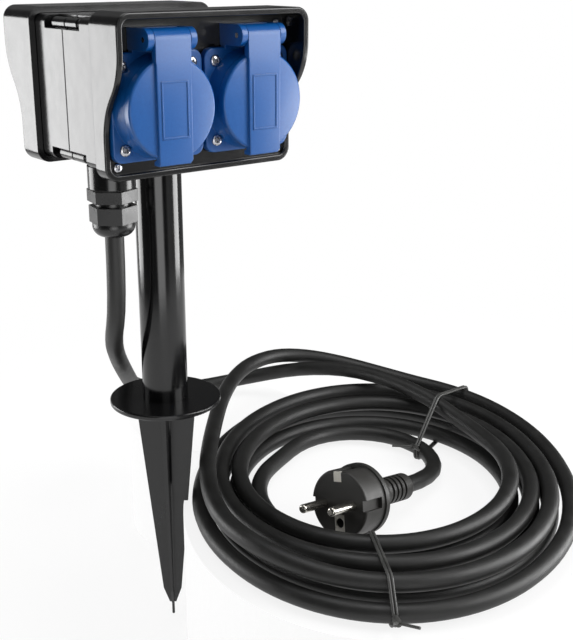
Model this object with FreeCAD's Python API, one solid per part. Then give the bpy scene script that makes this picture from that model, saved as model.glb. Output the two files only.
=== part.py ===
# Garden socket spike: a black housing with two splash-proof sockets in front and a segment timer
# behind, carried by a tube on a cruciform ground spike, with a long rubber cable, gland and plug.
# Millimetres. +X is to the right seen from the sockets, +Y runs from the sockets to the timer, and
# +Z is up. The origin is on the spike's axis, level with the ground that the cable lies on.
import FreeCAD
import Part
import math
import os

V = FreeCAD.Vector
os.makedirs("parts", exist_ok=True)
X, Y, Z = V(1, 0, 0), V(0, 1, 0), V(0, 0, 1)

# Heights above the ground
SPIKE_DEPTH = 76.0          # how much of the spike is below the ground
DISC_TOP = 65.0             # upper face of the foot disc
HOUSING_BOTTOM = 197.4      # underside of the visors
SOCKET_UP = 33.8            # middle of both sockets above that
TIMER_UP = 33.2             # middle of the timer above it

# Ground spike and tube
SPIKE_TURN = 38.0           # the cross is turned this far from the housing's faces
RIB_REACH = 16.7            # half width of the cross under the disc
RIB_REACH_LOW = 5.3         # half width where the point begins
RIB_THICK = 2.8
RIB_THICK_LOW = 1.5
POINT_HEIGHT = 18.0         # height of the end of the taper above the tip
PIN_LENGTH = 8.5            # slim pin below the point
PIN_RADIUS = 0.8
POINT_REACH = 1.9
DISC_RADIUS = 30.7
DISC_THICK = 3.0
TUBE_RADIUS = 12.5
TUBE_WALL = 2.0
TUBE_ENTRY = 22.0           # how far the tube stands inside the housing
SPIGOT_LENGTH = 26.0        # part of the spike inside the tube
SLIP = 0.15                 # clearance of pieces that slide together by hand

# Visors: one in front of the sockets, one in front of the timer
VISOR_HEIGHT = 77.0
VISOR_WALL = 3.2
VISOR_CORNER = 7.0
VISOR_STEP_FRONT = -34.0    # rear edge of the front visor
VISOR_STEP_REAR = 26.5      # front edge of the rear visor
FACE_FRONT = -41.0          # plate that the sockets are screwed to
FACE_REAR = 40.2            # plate that the timer is fixed to
FACE_THICK = 3.0
LIP_FRONT_TOP = -58.7
LIP_FRONT_BOTTOM = -43.2
LIP_REAR_TOP = 56.2
LIP_REAR_BOTTOM = 42.6
LIP_CURVE_LOW = 19.0        # start of the lip's double curve above the housing's underside
LIP_CURVE_HIGH = 60.5
LIP_ROUND = 0.9

# Middle shells
SHELL_WALL = 2.6
SHELL_CORNER = 4.0
PARTING_Y = -1.7
SHELL_GASKET = 1.0
FACE_GASKET = 1.0
FIT_GAP = 0.2               # clearance between moulded pieces that nest
POCKET_FRONT = -18.5        # notches at the sides' upper and lower edges
POCKET_REAR = 16.5
POCKET_HEIGHT = 6.3
POCKET_DEPTH = 8.4
POCKET_WALL = 1.8
CLAMP_BOSS = 2.9
CLAMP_SCREW = 1.5
CLAMP_FRONT = -13.0         # front end of the bosses, under the screws' heads
CLAMP_REAR = 11.0
CLAMP_LENGTH = 22.0
PANEL_WIDTH = 23.0          # raised outline on the right side
PANEL_HEIGHT = 26.0
PANEL_LINE = 1.0
PANEL_RISE = 0.3
PANEL_Y = -1.8
PANEL_UP = 37.6             # middle above the underside of the visors
COLLAR_WALL = 3.0
COLLAR_HEIGHT = 22.0

# Cover screws in the corners of both face plates
CORNER_IN = 4.0             # inside the visors' side walls
CORNER_LOW = 6.3            # above the underside of the visors
CORNER_HIGH = 68.9
CORNER_POST = 3.5
CORNER_HEAD = 2.4
CORNER_HEAD_HIGH = 1.4
CORNER_SHANK = 1.3
CORNER_LENGTH = 14.0
THREAD_GAP = 0.04

# Socket insert: 50 mm flange with four screws 38 mm apart
FLANGE = 50.0
FLANGE_APART = 1.4          # between the two flanges
FLANGE_SIDE = 0.1           # between a flange and the visor
FLANGE_CORNER = 5.0
FLANGE_THICK = 3.6
FLANGE_GASKET = 0.8
SCREW_IN = 6.0              # screws inside the flange's edges
FLANGE_HEAD = 2.8
FLANGE_HEAD_HIGH = 1.3
FLANGE_SHANK = 1.4
FLANGE_SCREW_LENGTH = 9.0
COLLAR_FOOT = FLANGE / 2 - 0.4
COLLAR_TOP = FLANGE / 2 - 2.1
COLLAR_NECK = FLANGE / 2 - 3.5
COLLAR_SHOULDER = 12.7      # where the collar steps in under the lid's skirt
WELL_RADIUS = FLANGE / 2 - 5.5
WELL_DEPTH = 17.5
WELL_FLOOR = 2.6
WELL_WALL = 1.8
KEY_WIDTH = 5.4             # guide ribs at both sides of the well
KEY_DEEP = 1.9
CONTACT_SPACING = 19.0
CONTACT_BORE = 2.45
CONTACT_OUT = 3.1
CONTACT_LENGTH = 16.0
CHAMBER_RADIUS = WELL_RADIUS - 2.0
CHAMBER_LENGTH = 17.0
PIN_HOLE = 2.7
EARTH_WIDTH = 5.0
EARTH_THICK = 0.8
EARTH_RISE = 11.0

# Socket lid, closed. Distances before the face plate
LID_RADIUS = FLANGE / 2 - 1.5
LID_FRONT = 17.3
LID_THICK = 1.8
LID_SKIRT = 1.6
LID_SKIRT_BACK = 13.0
LID_EDGE = 1.2
LID_DROP = 0.3
STRAP_FRONT = 18.9
STRAP_TOP = 19.0            # width at the hinge
STRAP_FOOT = 18.4
RIDGE_WIDTH = 14.6          # raised outline on the strap
RIDGE_TOP = 12.6            # above the socket's middle
RIDGE_FOOT = -13.6
RIDGE_LINE = 0.8
RIDGE_RISE = 0.35
TAB_FOOT = FLANGE / 2 + 0.7  # below the socket's middle
TAB_BACK = 13.9
TAB_THICK = 2.0
SEAL_THICK = 0.8
SEAL_WIDTH = 2.6
SEAL_GAP = 0.1
LID_OPENING = 100.0

# Lid hinge
HINGE_UP = FLANGE / 2 + 5.9  # axis above the socket's middle
KNUCKLE = 5.0
KNUCKLE_CAVITY = 3.5
KNUCKLE_WIDTH = 4.0
CHEEK_OUT = 13.0
CHEEK_GAP = 0.25
BLOCK_FRONT = 8.0
HINGE_PIN = 1.25
PIN_GAP = 0.06
SPRING_MEAN = 2.35
SPRING_WIRE = 0.6
SPRING_TURNS = 6

# Timer. Distances behind the rear face plate are negative
TIMER_PLATE = 2.2
TIMER_PLATE_WIDTH = 56.0
TIMER_PLATE_HEIGHT = 41.6
TIMER_GASKET = 0.8
TIMER_PLATE_RIM = 3.0       # the plate reaches beyond its case by this much at the sides
TIMER_PLATE_EDGE = 1.8      # and by this much above and below
TIMER_CASE_WIDTH = TIMER_PLATE_WIDTH - 2 * TIMER_PLATE_RIM
TIMER_CASE_HEIGHT = TIMER_PLATE_HEIGHT - 2 * TIMER_PLATE_EDGE
TIMER_CASE_DEPTH = 20.0
TIMER_CASE_WALL = 1.6
MOVEMENT_DEPTH = 9.0
MOTOR_RADIUS = 9.0
DIAL_UP = 0.8               # dial's axis above the middle of the cover
DIAL_RADIUS = 20.2
DIAL_RING = 15.8
DIAL_HUB = 10.7
DIAL_GAP = 0.2
DIAL_BASE = 1.2
DIAL_RING_RISE = 1.0
DIAL_HUB_RISE = 1.2
TAPPETS = 96
TAPPET_IN = 16.9
TAPPET_OUT = 20.0
TAPPET_WIDTH = 0.8
TAPPET_HIGH = 1.0
TAPPET_TRAVEL = 0.8         # inwards, towards the number ring
TAPPET_GAP = 0.02
SPINDLE = 2.0
SPINDLE_GAP = 0.06

# Clear timer cover
COVER_WALL = 1.6
COVER_SLACK = 0.4           # between the timer's plate and the cover's sides
COVER_WIDTH = TIMER_PLATE_WIDTH + 2 * (COVER_WALL + COVER_SLACK)
COVER_TOP = TIMER_PLATE_HEIGHT / 2 + 2.3
COVER_FOOT = TIMER_PLATE_HEIGHT / 2 + 2.5
COVER_FRONT = 8.0
COVER_BACK = 1.2
COVER_TOP_WALL = 0.9        # thin, to pass the dial as the cover swings up
COVER_FACE = 1.3
COVER_CORNER = 2.5
COVER_HINGE_UP = COVER_TOP + 5.5
COVER_HINGE_OUT = 4.9
COVER_KNUCKLE = 4.1
COVER_KNUCKLE_IN = 11.2
COVER_KNUCKLE_OUT = 21.8
COVER_PIN = 1.2
COVER_BOSS_IN = 22.1
COVER_BOSS_OUT = COVER_WIDTH / 2
COVER_SPRING_MEAN = 1.95
COVER_SPRING_WIRE = 0.7
COVER_SPRING_TURNS = 10
COVER_OPENING = 100.0

# Cable gland: hexagon 22 mm across flats
GLAND_IN = 14.4             # from the shells' left side
GLAND_Y = -16.2
GLAND_BOSS = 11.75
GLAND_BOSS_DROP = 7.6       # below the underside of the visors
GLAND_THREAD = 9.3
GLAND_ROOM = 39.0           # height of the cable's way up from the end of the boss
GLAND_HEX = 22.0
GLAND_TURN = 21.0           # turn of the hexagons
GLAND_HEX_HIGH = 6.0
GLAND_RING = 0.8
GLAND_NECK = 8.9
GLAND_NECK_LONG = 8.0
GLAND_STEM_TOP = 1.1        # threaded end above the shells' underside
GLAND_SPLIT = 2.2           # bare neck between the body's hexagon and the nut
GLAND_NUT_FLATS = 21.0
GLAND_NUT_HIGH = 8.4
GLAND_DOME_HIGH = 7.0
GLAND_MOUTH = 6.4
GLAND_SEAL_OUT = 7.6
GLAND_CLAW_SLOTS = 10

# Cable
CORD_RADIUS = 4.8
CORD_SEAT = 0.05            # clearance round the cable where it is gripped
SHEATH_INSIDE = 2.0         # sheathed end above the housing's floor
CORE_RADIUS = 1.45
CORE_SHIFT = 2.2

# Wire ties round the bundle: a doubled wire in an upright plane
TIE_WIRE = 0.75
TIE_CLEAR = 0.25
TIE_PAIR = 0.8              # half the distance between the two wires
TIE_TWIST = 1.7
TIE_TWIST_LONG = 6.5
TIE_GAP = 24.0              # opening of the loop at the twist, degrees
UPPER_TIE = 30.0            # direction from COIL_MID, clockwise from the far side
LOWER_TIE = 172.0
LOWER_TIE_MID = (3.0, 98.7)

# Terminal block beside the tube, in the rear half
TERMINAL_X = (-40.2, -22.0)
TERMINAL_Y = (4.0, 14.0)
TERMINAL_HIGH = 12.0
CORE_BEND = 3.5

# Coil on the ground. Its places are given as (away, across, height): away along COIL_TURN from
# the spike's axis, across to the right of that direction
COIL_TURN = 38.34           # direction of the far side, from +Y towards +X
COIL_MID = (3.0, 121.0)
COIL_START = -65.0          # angle of the inner end, clockwise from the far side
COIL_TURNS = 6.625
COIL_REVERSE = 3.5          # turns in the lower layer; the rest lie on top, going inwards
REACH_FAR = (68.0, 150.0)   # middle of the innermost and outermost turns on each side
REACH_RIGHT = (67.0, 105.0)
REACH_NEAR = (70.0, 133.0)
REACH_LEFT = (68.0, 107.0)
COIL_OPENS = 0.86           # below 1: the inner turns lie further apart than the outer ones
LOOSE_STEPS = 24            # stations in a turn there
# One turn of the upper layer stands off the others on the left: (turn, away, across, rise)
LOOSE_TURN = [(3.75, 0, 0, 0), (3.91, 27, -14, 15), (4.06, 0, 4, 13), (4.18, -5, -2, 7), (4.3, 0, 0, 0)]
CLIMB = 0.5                 # part of a turn in which the cable climbs to the second layer
LAYER_RISE = 10.6
EXIT_RISE = 5.0             # the last part of the top turn rises to cross the others
EXIT_TURN = 0.4
COIL_LIFT = 1.8             # the ties' wire lies under the loops
COIL_GAP = 0.4              # least gap between turns

# Cable from the gland to the coil, corners of its route: first beside the tube, then to the pile
DROP_STRAIGHT = 99.0        # height of the corner below the gland
DROP_CORNERS = [(-16.0, 47.0, 60.0)]
LEAD_CORNERS = [(103.7, -29.8, 24.0), (149.2, -7.6, 7.5), (166.8, 36.0, 9.8), (151.0, 77.5, 24.2),
                (128.0, 118.0, 31.2), (90.0, 156.0, 29.2), (62.0, 177.0, 22.2)]
TAIL_CORNERS = 5

# Plug
PLUG_FACE = (-51.9, 95.1, 24.2)
PLUG_HEADING = 42.0         # direction of the cable's end of the plug, from the far side to the right
PLUG_TILT = 11.0            # its face looks upwards
PLUG_ROLL = 14.0            # turned about its axis
PLUG_RADIUS = WELL_RADIUS - 1.2  # front part that enters a socket
PLUG_FLATS = 17.2           # its upper and lower sides, from the middle
PLUG_DEPTH = 16.5
PLUG_GROOVE = 5.8
PLUG_GROOVE_DEEP = 2.4
PLUG_RIM = 19.2
PLUG_RIM_LONG = 3.0
PLUG_CONE = 15.0
PLUG_CONE_END = 8.6
PLUG_PIN = 2.4
PLUG_PIN_LONG = 19.0
EARTH_CLIP_WIDTH = 5.0
EARTH_CLIP_THICK = 1.0
EARTH_HOLE = 2.6
EARTH_HOLE_DOWN = 10.0      # from the line of the pins
RELIEF_LONG = 24.5
RELIEF_RADIUS = 7.6
RELIEF_GROOVES = 4
RELIEF_GROOVE_DEEP = 1.3
RELIEF_COLLAR = 5.0
PIN_ROOT = 12.0             # part of each pin inside the plug
PIN_ROOT_RADIUS = 2.0
EARTH_CLIP_LOW = 5.4        # lower edge of the clip below the upper flat
EARTH_PLATE_WIDTH = 6.4
EARTH_PLATE_TOP = 5.6       # upper edge of the plate below the line of the pins

# Sizes that follow from the ones above
HOUSING_TOP = HOUSING_BOTTOM + VISOR_HEIGHT
SOCKET_Z = HOUSING_BOTTOM + SOCKET_UP
TIMER_Z = HOUSING_BOTTOM + TIMER_UP
PANEL_Z = HOUSING_BOTTOM + PANEL_UP
SOCKET_PITCH = FLANGE + FLANGE_APART
SCREW_SPACING = FLANGE - 2 * SCREW_IN
VISOR_WIDTH = SOCKET_PITCH + FLANGE + 2 * (FLANGE_SIDE + VISOR_WALL)
VISOR_MID = HOUSING_BOTTOM + VISOR_HEIGHT / 2
NEST_WIDTH = VISOR_WIDTH - 2 * VISOR_WALL
NEST_HEIGHT = VISOR_HEIGHT - 2 * VISOR_WALL
SHELL_WIDTH = NEST_WIDTH - 2 * FIT_GAP
SHELL_HEIGHT = NEST_HEIGHT - 2 * FIT_GAP
CORNER_X = NEST_WIDTH / 2 - CORNER_IN
GLAND_X = GLAND_IN - SHELL_WIDTH / 2
SHELL_FRONT = FACE_FRONT + FACE_THICK + FACE_GASKET
SHELL_REAR = FACE_REAR - FACE_THICK - FACE_GASKET
SHELL_FLOOR = VISOR_MID - SHELL_HEIGHT / 2 + SHELL_WALL
COLLAR_RADIUS = TUBE_RADIUS + SLIP + COLLAR_WALL
TUBE_TOP = SHELL_FLOOR + TUBE_ENTRY
CORNERS = [(side * CORNER_X, HOUSING_BOTTOM + up) for side in (-1, 1) for up in (CORNER_LOW, CORNER_HIGH)]
COLLAR_REACH = LID_FRONT - LID_THICK - SEAL_THICK - SEAL_GAP
WELL_END = WELL_DEPTH - COLLAR_REACH
FLANGE_FRONT = -(FLANGE_GASKET + FLANGE_THICK)
HINGE_OUT = STRAP_FRONT - KNUCKLE
CONTACTS = [-CONTACT_SPACING / 2, CONTACT_SPACING / 2]
FLANGE_HOLES = [(x * SCREW_SPACING / 2, z * SCREW_SPACING / 2) for x in (-1, 1) for z in (-1, 1)]
CHEEK_IN = STRAP_TOP / 2 + CHEEK_GAP
BOSS_END = HOUSING_BOTTOM - GLAND_BOSS_DROP
HEX_TOP = BOSS_END - GLAND_RING
HEX_FOOT = HEX_TOP - GLAND_HEX_HIGH
NUT_TOP = HEX_FOOT - GLAND_SPLIT
NUT_FOOT = NUT_TOP - GLAND_NUT_HIGH
CORD_EXIT = NUT_FOOT - GLAND_DOME_HIGH


# Building blocks
def block(x0, x1, y0, y1, z0, z1):
    return Part.makeBox(x1 - x0, y1 - y0, z1 - z0, V(x0, y0, z0))


def rod(radius, start, axis, length):
    return Part.makeCylinder(radius, length, V(*start), axis)


def pipe(outer, inner, start, axis, length):
    return rod(outer, start, axis, length).cut(rod(inner, start, axis, length))


def fuse(first, *others):
    return first.fuse(list(others)).removeSplitter()


def cut(first, *others):
    return first.cut(list(others))


def moved(shape, x=0.0, y=0.0, z=0.0):
    copy = shape.copy()
    copy.translate(V(x, y, z))
    return copy


def along(edge, axis):
    """Whether an edge is a straight line parallel to an axis."""
    if not isinstance(edge.Curve, (Part.Line, Part.LineSegment)):
        return False
    return abs(abs(edge.tangentAt(edge.FirstParameter).dot(axis)) - 1) < 1e-6


def plaque(width, height, corner, y0, y1, x=0.0, z=0.0):
    """Rounded rectangle seen along Y, from y0 to y1."""
    body = block(x - width / 2, x + width / 2, y0, y1, z - height / 2, z + height / 2)
    return body.makeFillet(corner, [edge for edge in body.Edges if along(edge, Y)])


def revolved(points, start):
    """Solid of revolution about a vertical axis, from (radius, height) points."""
    wire = Part.makePolygon([V(r, 0, h) for r, h in points] + [V(points[0][0], 0, points[0][1])])
    body = Part.Face(wire).revolve(V(0, 0, 0), Z, 360)
    return moved(body, *start)


def hexagon(flats, start, height):
    corner = flats / math.sqrt(3)
    points = [V(corner * math.cos(math.radians(60 * i + GLAND_TURN)),
                corner * math.sin(math.radians(60 * i + GLAND_TURN)), 0)
              for i in range(7)]
    return moved(Part.Face(Part.makePolygon(points)).extrude(Z * height), *start)


def screw(head, head_high, shank, length, point, inward):
    """Pan-head screw: point is the middle of the face under its head."""
    start = V(*point)
    bolt = Part.makeCylinder(shank, length, start, inward)
    cap = Part.makeCylinder(head, head_high, start, inward * -1)
    rim = [edge for edge in cap.Edges if (edge.CenterOfMass - start).dot(inward) < -head_high / 2
           and isinstance(edge.Curve, Part.Circle)]
    return fuse(cap.makeFillet(head_high * 0.6, rim), bolt)


def save(name, *pieces):
    solids = [solid for piece in pieces for solid in piece.Solids]
    faulty = [solid for solid in solids if not solid.isValid()]
    shape = solids[0] if len(solids) == 1 else Part.makeCompound(solids)
    shape.exportStep(f"parts/{name}.step")
    print(name, len(solids), "solids", round(shape.Volume, 1), "mm3", "FAULTY" if faulty else "")


# Ground spike with its foot disc
def tapered_rib():
    """One flat of the cross, lying along X."""
    tip = -SPIKE_DEPTH
    sections = [(DISC_TOP - DISC_THICK, RIB_REACH, RIB_THICK),
                (tip + POINT_HEIGHT, RIB_REACH_LOW, RIB_THICK_LOW),
                (tip + PIN_LENGTH, POINT_REACH, RIB_THICK_LOW)]
    wires = []
    for height, reach, thick in sections:
        corners = [V(-reach, -thick / 2, height), V(reach, -thick / 2, height),
                   V(reach, thick / 2, height), V(-reach, thick / 2, height)]
        wires.append(Part.makePolygon(corners + corners[:1]))
    return fuse(*[Part.makeLoft(wires[i:i + 2], True, True) for i in (0, 1)])


def ground_spike():
    tip = -SPIKE_DEPTH
    under = DISC_TOP - DISC_THICK
    first = tapered_rib()
    second = first.copy()
    second.rotate(V(0, 0, 0), Z, 90)
    core = Part.makeCone(RIB_THICK_LOW, RIB_THICK, under - tip - POINT_HEIGHT, V(0, 0, tip + POINT_HEIGHT), Z)
    cross = fuse(first, second, core)
    cross.rotate(V(0, 0, 0), Z, -SPIKE_TURN)
    pin = rod(PIN_RADIUS, (0, 0, tip + PIN_RADIUS), Z, PIN_LENGTH + PIN_RADIUS)
    nose = Part.makeSphere(PIN_RADIUS, V(0, 0, tip + PIN_RADIUS))
    disc = rod(DISC_RADIUS, (0, 0, under), Z, DISC_THICK)
    rim = [edge for edge in disc.Edges if isinstance(edge.Curve, Part.Circle)]
    disc = disc.makeFillet(DISC_THICK * 0.3, rim)
    spigot_radius = TUBE_RADIUS - TUBE_WALL - SLIP
    spigot = pipe(spigot_radius, spigot_radius - TUBE_WALL, (0, 0, DISC_TOP), Z, SPIGOT_LENGTH)
    return fuse(cross, pin, nose, disc, spigot)


save("ground_spike", ground_spike())
save("column_tube", pipe(TUBE_RADIUS, TUBE_RADIUS - TUBE_WALL, (0, 0, DISC_TOP), Z, TUBE_TOP - DISC_TOP))


# Visors with their face plates
def lip_curve(y0, z0, y1, z1):
    """Double curve of a visor's side, upright at both ends."""
    half_y, half_z = (y1 - y0) / 2, (z1 - z0) / 2
    radius = (half_z ** 2 + half_y ** 2) / (2 * abs(half_y))
    side = math.copysign(1, half_y)
    bend = math.asin(half_z / radius) / 2
    dy, dz = side * radius * (1 - math.cos(bend)), radius * math.sin(bend)
    middle = V(0, y0 + half_y, z0 + half_z)
    return [Part.Arc(V(0, y0, z0), V(0, y0 + dy, z0 + dz), middle).toShape(),
            Part.Arc(middle, V(0, y1 - dy, z1 - dz), V(0, y1, z1)).toShape()]


def visor_profile(back, lip_top, lip_bottom):
    low, high = HOUSING_BOTTOM + LIP_CURVE_LOW, HOUSING_BOTTOM + LIP_CURVE_HIGH
    corners = [V(0, lip_top, high), V(0, lip_top, HOUSING_TOP), V(0, back, HOUSING_TOP),
               V(0, back, HOUSING_BOTTOM), V(0, lip_bottom, HOUSING_BOTTOM), V(0, lip_bottom, low)]
    lines = [Part.makeLine(corners[i], corners[i + 1]) for i in range(5)]
    wire = Part.Wire(Part.__sortEdges__(lines + lip_curve(lip_bottom, low, lip_top, high)))
    return moved(Part.Face(wire), -VISOR_WIDTH / 2).extrude(X * VISOR_WIDTH)


def visor(face, back, lip_top, lip_bottom):
    out = math.copysign(1, lip_top)
    reach = sorted((back, lip_top + out))
    body = visor_profile(back, lip_top, lip_bottom)
    body = body.common(plaque(VISOR_WIDTH, VISOR_HEIGHT, VISOR_CORNER, *reach, z=VISOR_MID))
    mouth = sorted((face, lip_top + out))
    nest = sorted((back, face - out * FACE_THICK))
    nest_corner = VISOR_CORNER - VISOR_WALL
    body = cut(body, plaque(NEST_WIDTH, NEST_HEIGHT, nest_corner, *mouth, z=VISOR_MID),
               plaque(NEST_WIDTH, NEST_HEIGHT, nest_corner, *nest, z=VISOR_MID))
    for x, z in CORNERS:
        body = cut(body, rod(CORNER_SHANK + THREAD_GAP, (x, face + out, z), Y * -out, FACE_THICK + 2))
    return rounded_lip(body, face, lip_top)


def rounded_lip(body, face, lip_top):
    """Rounds the lip's edges, which lie beyond the face plate and don't cross the wall."""
    out = math.copysign(1, lip_top)
    picked = []
    for edge in body.Edges:
        ends = [vertex.Point for vertex in edge.Vertexes]
        beyond = all((point.y - face) * out > 1.0 for point in ends)
        across = along(edge, X) and edge.Length < VISOR_WALL + 1
        if beyond and not across and not along(edge, Y):
            picked.append(edge)
    return body.makeFillet(LIP_ROUND, picked)


def front_visor():
    body = visor(FACE_FRONT, VISOR_STEP_FRONT, LIP_FRONT_TOP, LIP_FRONT_BOTTOM)
    openings = []
    for side in (-1, 1):
        middle = side * SOCKET_PITCH / 2
        openings.append(rod(WELL_RADIUS + WELL_WALL + FIT_GAP, (middle, FACE_FRONT - 1, SOCKET_Z), Y, FACE_THICK + 2))
        for x, z in FLANGE_HOLES:
            openings.append(rod(FLANGE_SHANK + THREAD_GAP, (middle + x, FACE_FRONT - 1, SOCKET_Z + z), Y,
                                FACE_THICK + 2))
    return cut(body, *openings)


def rear_visor():
    body = visor(FACE_REAR, VISOR_STEP_REAR, LIP_REAR_TOP, LIP_REAR_BOTTOM)
    axis_y, axis_z = FACE_REAR + COVER_HINGE_OUT, TIMER_Z + COVER_HINGE_UP
    for side in (-1, 1):
        ends = sorted((side * COVER_BOSS_IN, side * COVER_BOSS_OUT))
        width = COVER_BOSS_OUT - COVER_BOSS_IN
        ear = fuse(block(*ends, FACE_REAR - 1, axis_y, axis_z - COVER_KNUCKLE, axis_z + COVER_KNUCKLE),
                   rod(COVER_KNUCKLE, (ends[0], axis_y, axis_z), X, width))
        body = fuse(body, ear)
    case = plaque(TIMER_CASE_WIDTH + 2 * FIT_GAP, TIMER_CASE_HEIGHT + 2 * FIT_GAP, COVER_CORNER,
                  FACE_REAR - FACE_THICK - 1, FACE_REAR + 1, z=TIMER_Z)
    bore = rod(COVER_PIN, (-COVER_BOSS_OUT - 1, axis_y, axis_z), X, 2 * COVER_BOSS_OUT + 2)
    return cut(body, case, bore)


save("front_visor", front_visor())
save("rear_visor", rear_visor())


# Gaskets between the face plates and the shells, and between the two shells
def frame_gasket(y0, y1, width, height, corner, rim):
    outside = plaque(width, height, corner, y0, y1, z=VISOR_MID)
    inside = plaque(width - 2 * rim, height - 2 * rim, corner / 2, y0 - 1, y1 + 1, z=VISOR_MID)
    return cut(outside, inside, *[rod(CORNER_SHANK + FIT_GAP, (x, y0 - 1, z), Y, y1 - y0 + 2) for x, z in CORNERS])


save("front_face_gasket", frame_gasket(SHELL_FRONT - FACE_GASKET, SHELL_FRONT, SHELL_WIDTH, SHELL_HEIGHT,
                                       SHELL_CORNER, SHELL_WALL))
save("rear_face_gasket", frame_gasket(SHELL_REAR, SHELL_REAR + FACE_GASKET, SHELL_WIDTH, SHELL_HEIGHT,
                                      SHELL_CORNER, SHELL_WALL))


# Middle shells: two open frames that meet at the parting line
def clamp_points():
    """Middles of the four clamping bosses in the pockets."""
    x = SHELL_WIDTH / 2 - POCKET_DEPTH / 2
    low = VISOR_MID - SHELL_HEIGHT / 2 + POCKET_HEIGHT - CLAMP_BOSS + 0.4
    high = VISOR_MID + SHELL_HEIGHT / 2 - POCKET_HEIGHT + CLAMP_BOSS - 0.4
    return [(side * x, z) for side in (-1, 1) for z in (low, high)]


def pocket(side, up, grow):
    """Space of a notch at one edge of the side, grown by the thickness of its walls."""
    edge, roof = side * (SHELL_WIDTH / 2 + 1), VISOR_MID + up * (SHELL_HEIGHT / 2 + 1)
    inner_x = side * (SHELL_WIDTH / 2 - POCKET_DEPTH - grow)
    inner_z = VISOR_MID + up * (SHELL_HEIGHT / 2 - POCKET_HEIGHT - grow)
    return block(*sorted((edge, inner_x)), POCKET_FRONT - grow, POCKET_REAR + grow, *sorted((roof, inner_z)))


def shell(y0, y1, boss_y):
    outer = plaque(SHELL_WIDTH, SHELL_HEIGHT, SHELL_CORNER, y0, y1, z=VISOR_MID)
    slab = block(-SHELL_WIDTH, SHELL_WIDTH, y0, y1, HOUSING_BOTTOM - 20, HOUSING_TOP)
    inside = plaque(SHELL_WIDTH - 2 * SHELL_WALL, SHELL_HEIGHT - 2 * SHELL_WALL, SHELL_CORNER / 2, y0 - 1, y1 + 1,
                    z=VISOR_MID)
    posts = []
    for x, z in CORNERS:
        post = rod(CORNER_POST, (x, min(y0, y1), z), Y, y1 - y0)
        keep = block(-SHELL_WIDTH, SHELL_WIDTH, SHELL_FRONT, POCKET_FRONT - POCKET_WALL, 0, HOUSING_TOP)
        rear = block(-SHELL_WIDTH, SHELL_WIDTH, POCKET_REAR + POCKET_WALL, SHELL_REAR, 0, HOUSING_TOP)
        posts.append(post.common(keep.fuse(rear)))
    walls = [pocket(side, up, POCKET_WALL).common(outer) for side in (-1, 1) for up in (-1, 1)]
    sleeve = rod(COLLAR_RADIUS, (0, 0, SHELL_FLOOR - SHELL_WALL), Z, COLLAR_HEIGHT + SHELL_WALL).common(slab)
    body = fuse(cut(outer, inside), *walls, *[post.common(outer) for post in posts], sleeve)
    body = cut(body, *[pocket(side, up, 0) for side in (-1, 1) for up in (-1, 1)])
    bosses = [rod(CLAMP_BOSS, (x, boss_y[0], z), Y, boss_y[1] - boss_y[0]).common(slab) for x, z in clamp_points()]
    body = fuse(body, *bosses)
    holes = [rod(CLAMP_SCREW + THREAD_GAP, (x, boss_y[0] - 1, z), Y, boss_y[1] - boss_y[0] + 2)
             for x, z in clamp_points()]
    holes += [rod(CORNER_SHANK + THREAD_GAP, (x, SHELL_FRONT - 1, z), Y, CORNER_LENGTH - FACE_THICK + 1)
              for x, z in CORNERS]
    holes += [rod(CORNER_SHANK + THREAD_GAP, (x, SHELL_REAR + 1, z), Y * -1, CORNER_LENGTH - FACE_THICK + 1)
              for x, z in CORNERS]
    bore = rod(TUBE_RADIUS + SLIP, (0, 0, HOUSING_BOTTOM), Z, COLLAR_HEIGHT + 2 * SHELL_WALL + 4)
    return cut(body, bore, *holes)


def front_shell():
    body = shell(SHELL_FRONT, PARTING_Y - SHELL_GASKET / 2, (CLAMP_FRONT, PARTING_Y - SHELL_GASKET / 2))
    boss = rod(GLAND_BOSS, (GLAND_X, GLAND_Y, BOSS_END), Z, SHELL_FLOOR - SHELL_WALL - BOSS_END)
    inner_boss = rod(GLAND_BOSS, (GLAND_X, GLAND_Y, SHELL_FLOOR - SHELL_WALL), Z, SHELL_WALL)
    inner_boss = inner_boss.common(block(-SHELL_WIDTH / 2 + POCKET_DEPTH + POCKET_WALL, 0, SHELL_FRONT, 0, 0, HOUSING_TOP))
    body = fuse(body, boss, inner_boss)
    return cut(body, rod(GLAND_THREAD + CORD_SEAT, (GLAND_X, GLAND_Y, BOSS_END - 1), Z,
                         GLAND_ROOM + 1))


def panel_line():
    """Raised outline on the right side, over both shells."""
    x = SHELL_WIDTH / 2
    outline = block(x - 0.5, x + PANEL_RISE, PANEL_Y - PANEL_WIDTH / 2, PANEL_Y + PANEL_WIDTH / 2,
                    PANEL_Z - PANEL_HEIGHT / 2, PANEL_Z + PANEL_HEIGHT / 2)
    inner = block(x - 1, x + 1, PANEL_Y - PANEL_WIDTH / 2 + PANEL_LINE, PANEL_Y + PANEL_WIDTH / 2 - PANEL_LINE,
                  PANEL_Z - PANEL_HEIGHT / 2 + PANEL_LINE, PANEL_Z + PANEL_HEIGHT / 2 - PANEL_LINE)
    return cut(outline, inner)


FRONT_HALF = block(-SHELL_WIDTH, SHELL_WIDTH, SHELL_FRONT, PARTING_Y - SHELL_GASKET / 2, 0, HOUSING_TOP)
REAR_HALF = block(-SHELL_WIDTH, SHELL_WIDTH, PARTING_Y + SHELL_GASKET / 2, SHELL_REAR, 0, HOUSING_TOP)
save("front_shell", fuse(front_shell(), panel_line().common(FRONT_HALF)))
save("rear_shell", fuse(shell(PARTING_Y + SHELL_GASKET / 2, SHELL_REAR, (PARTING_Y + SHELL_GASKET / 2, CLAMP_REAR)),
                        panel_line().common(REAR_HALF)))


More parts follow.
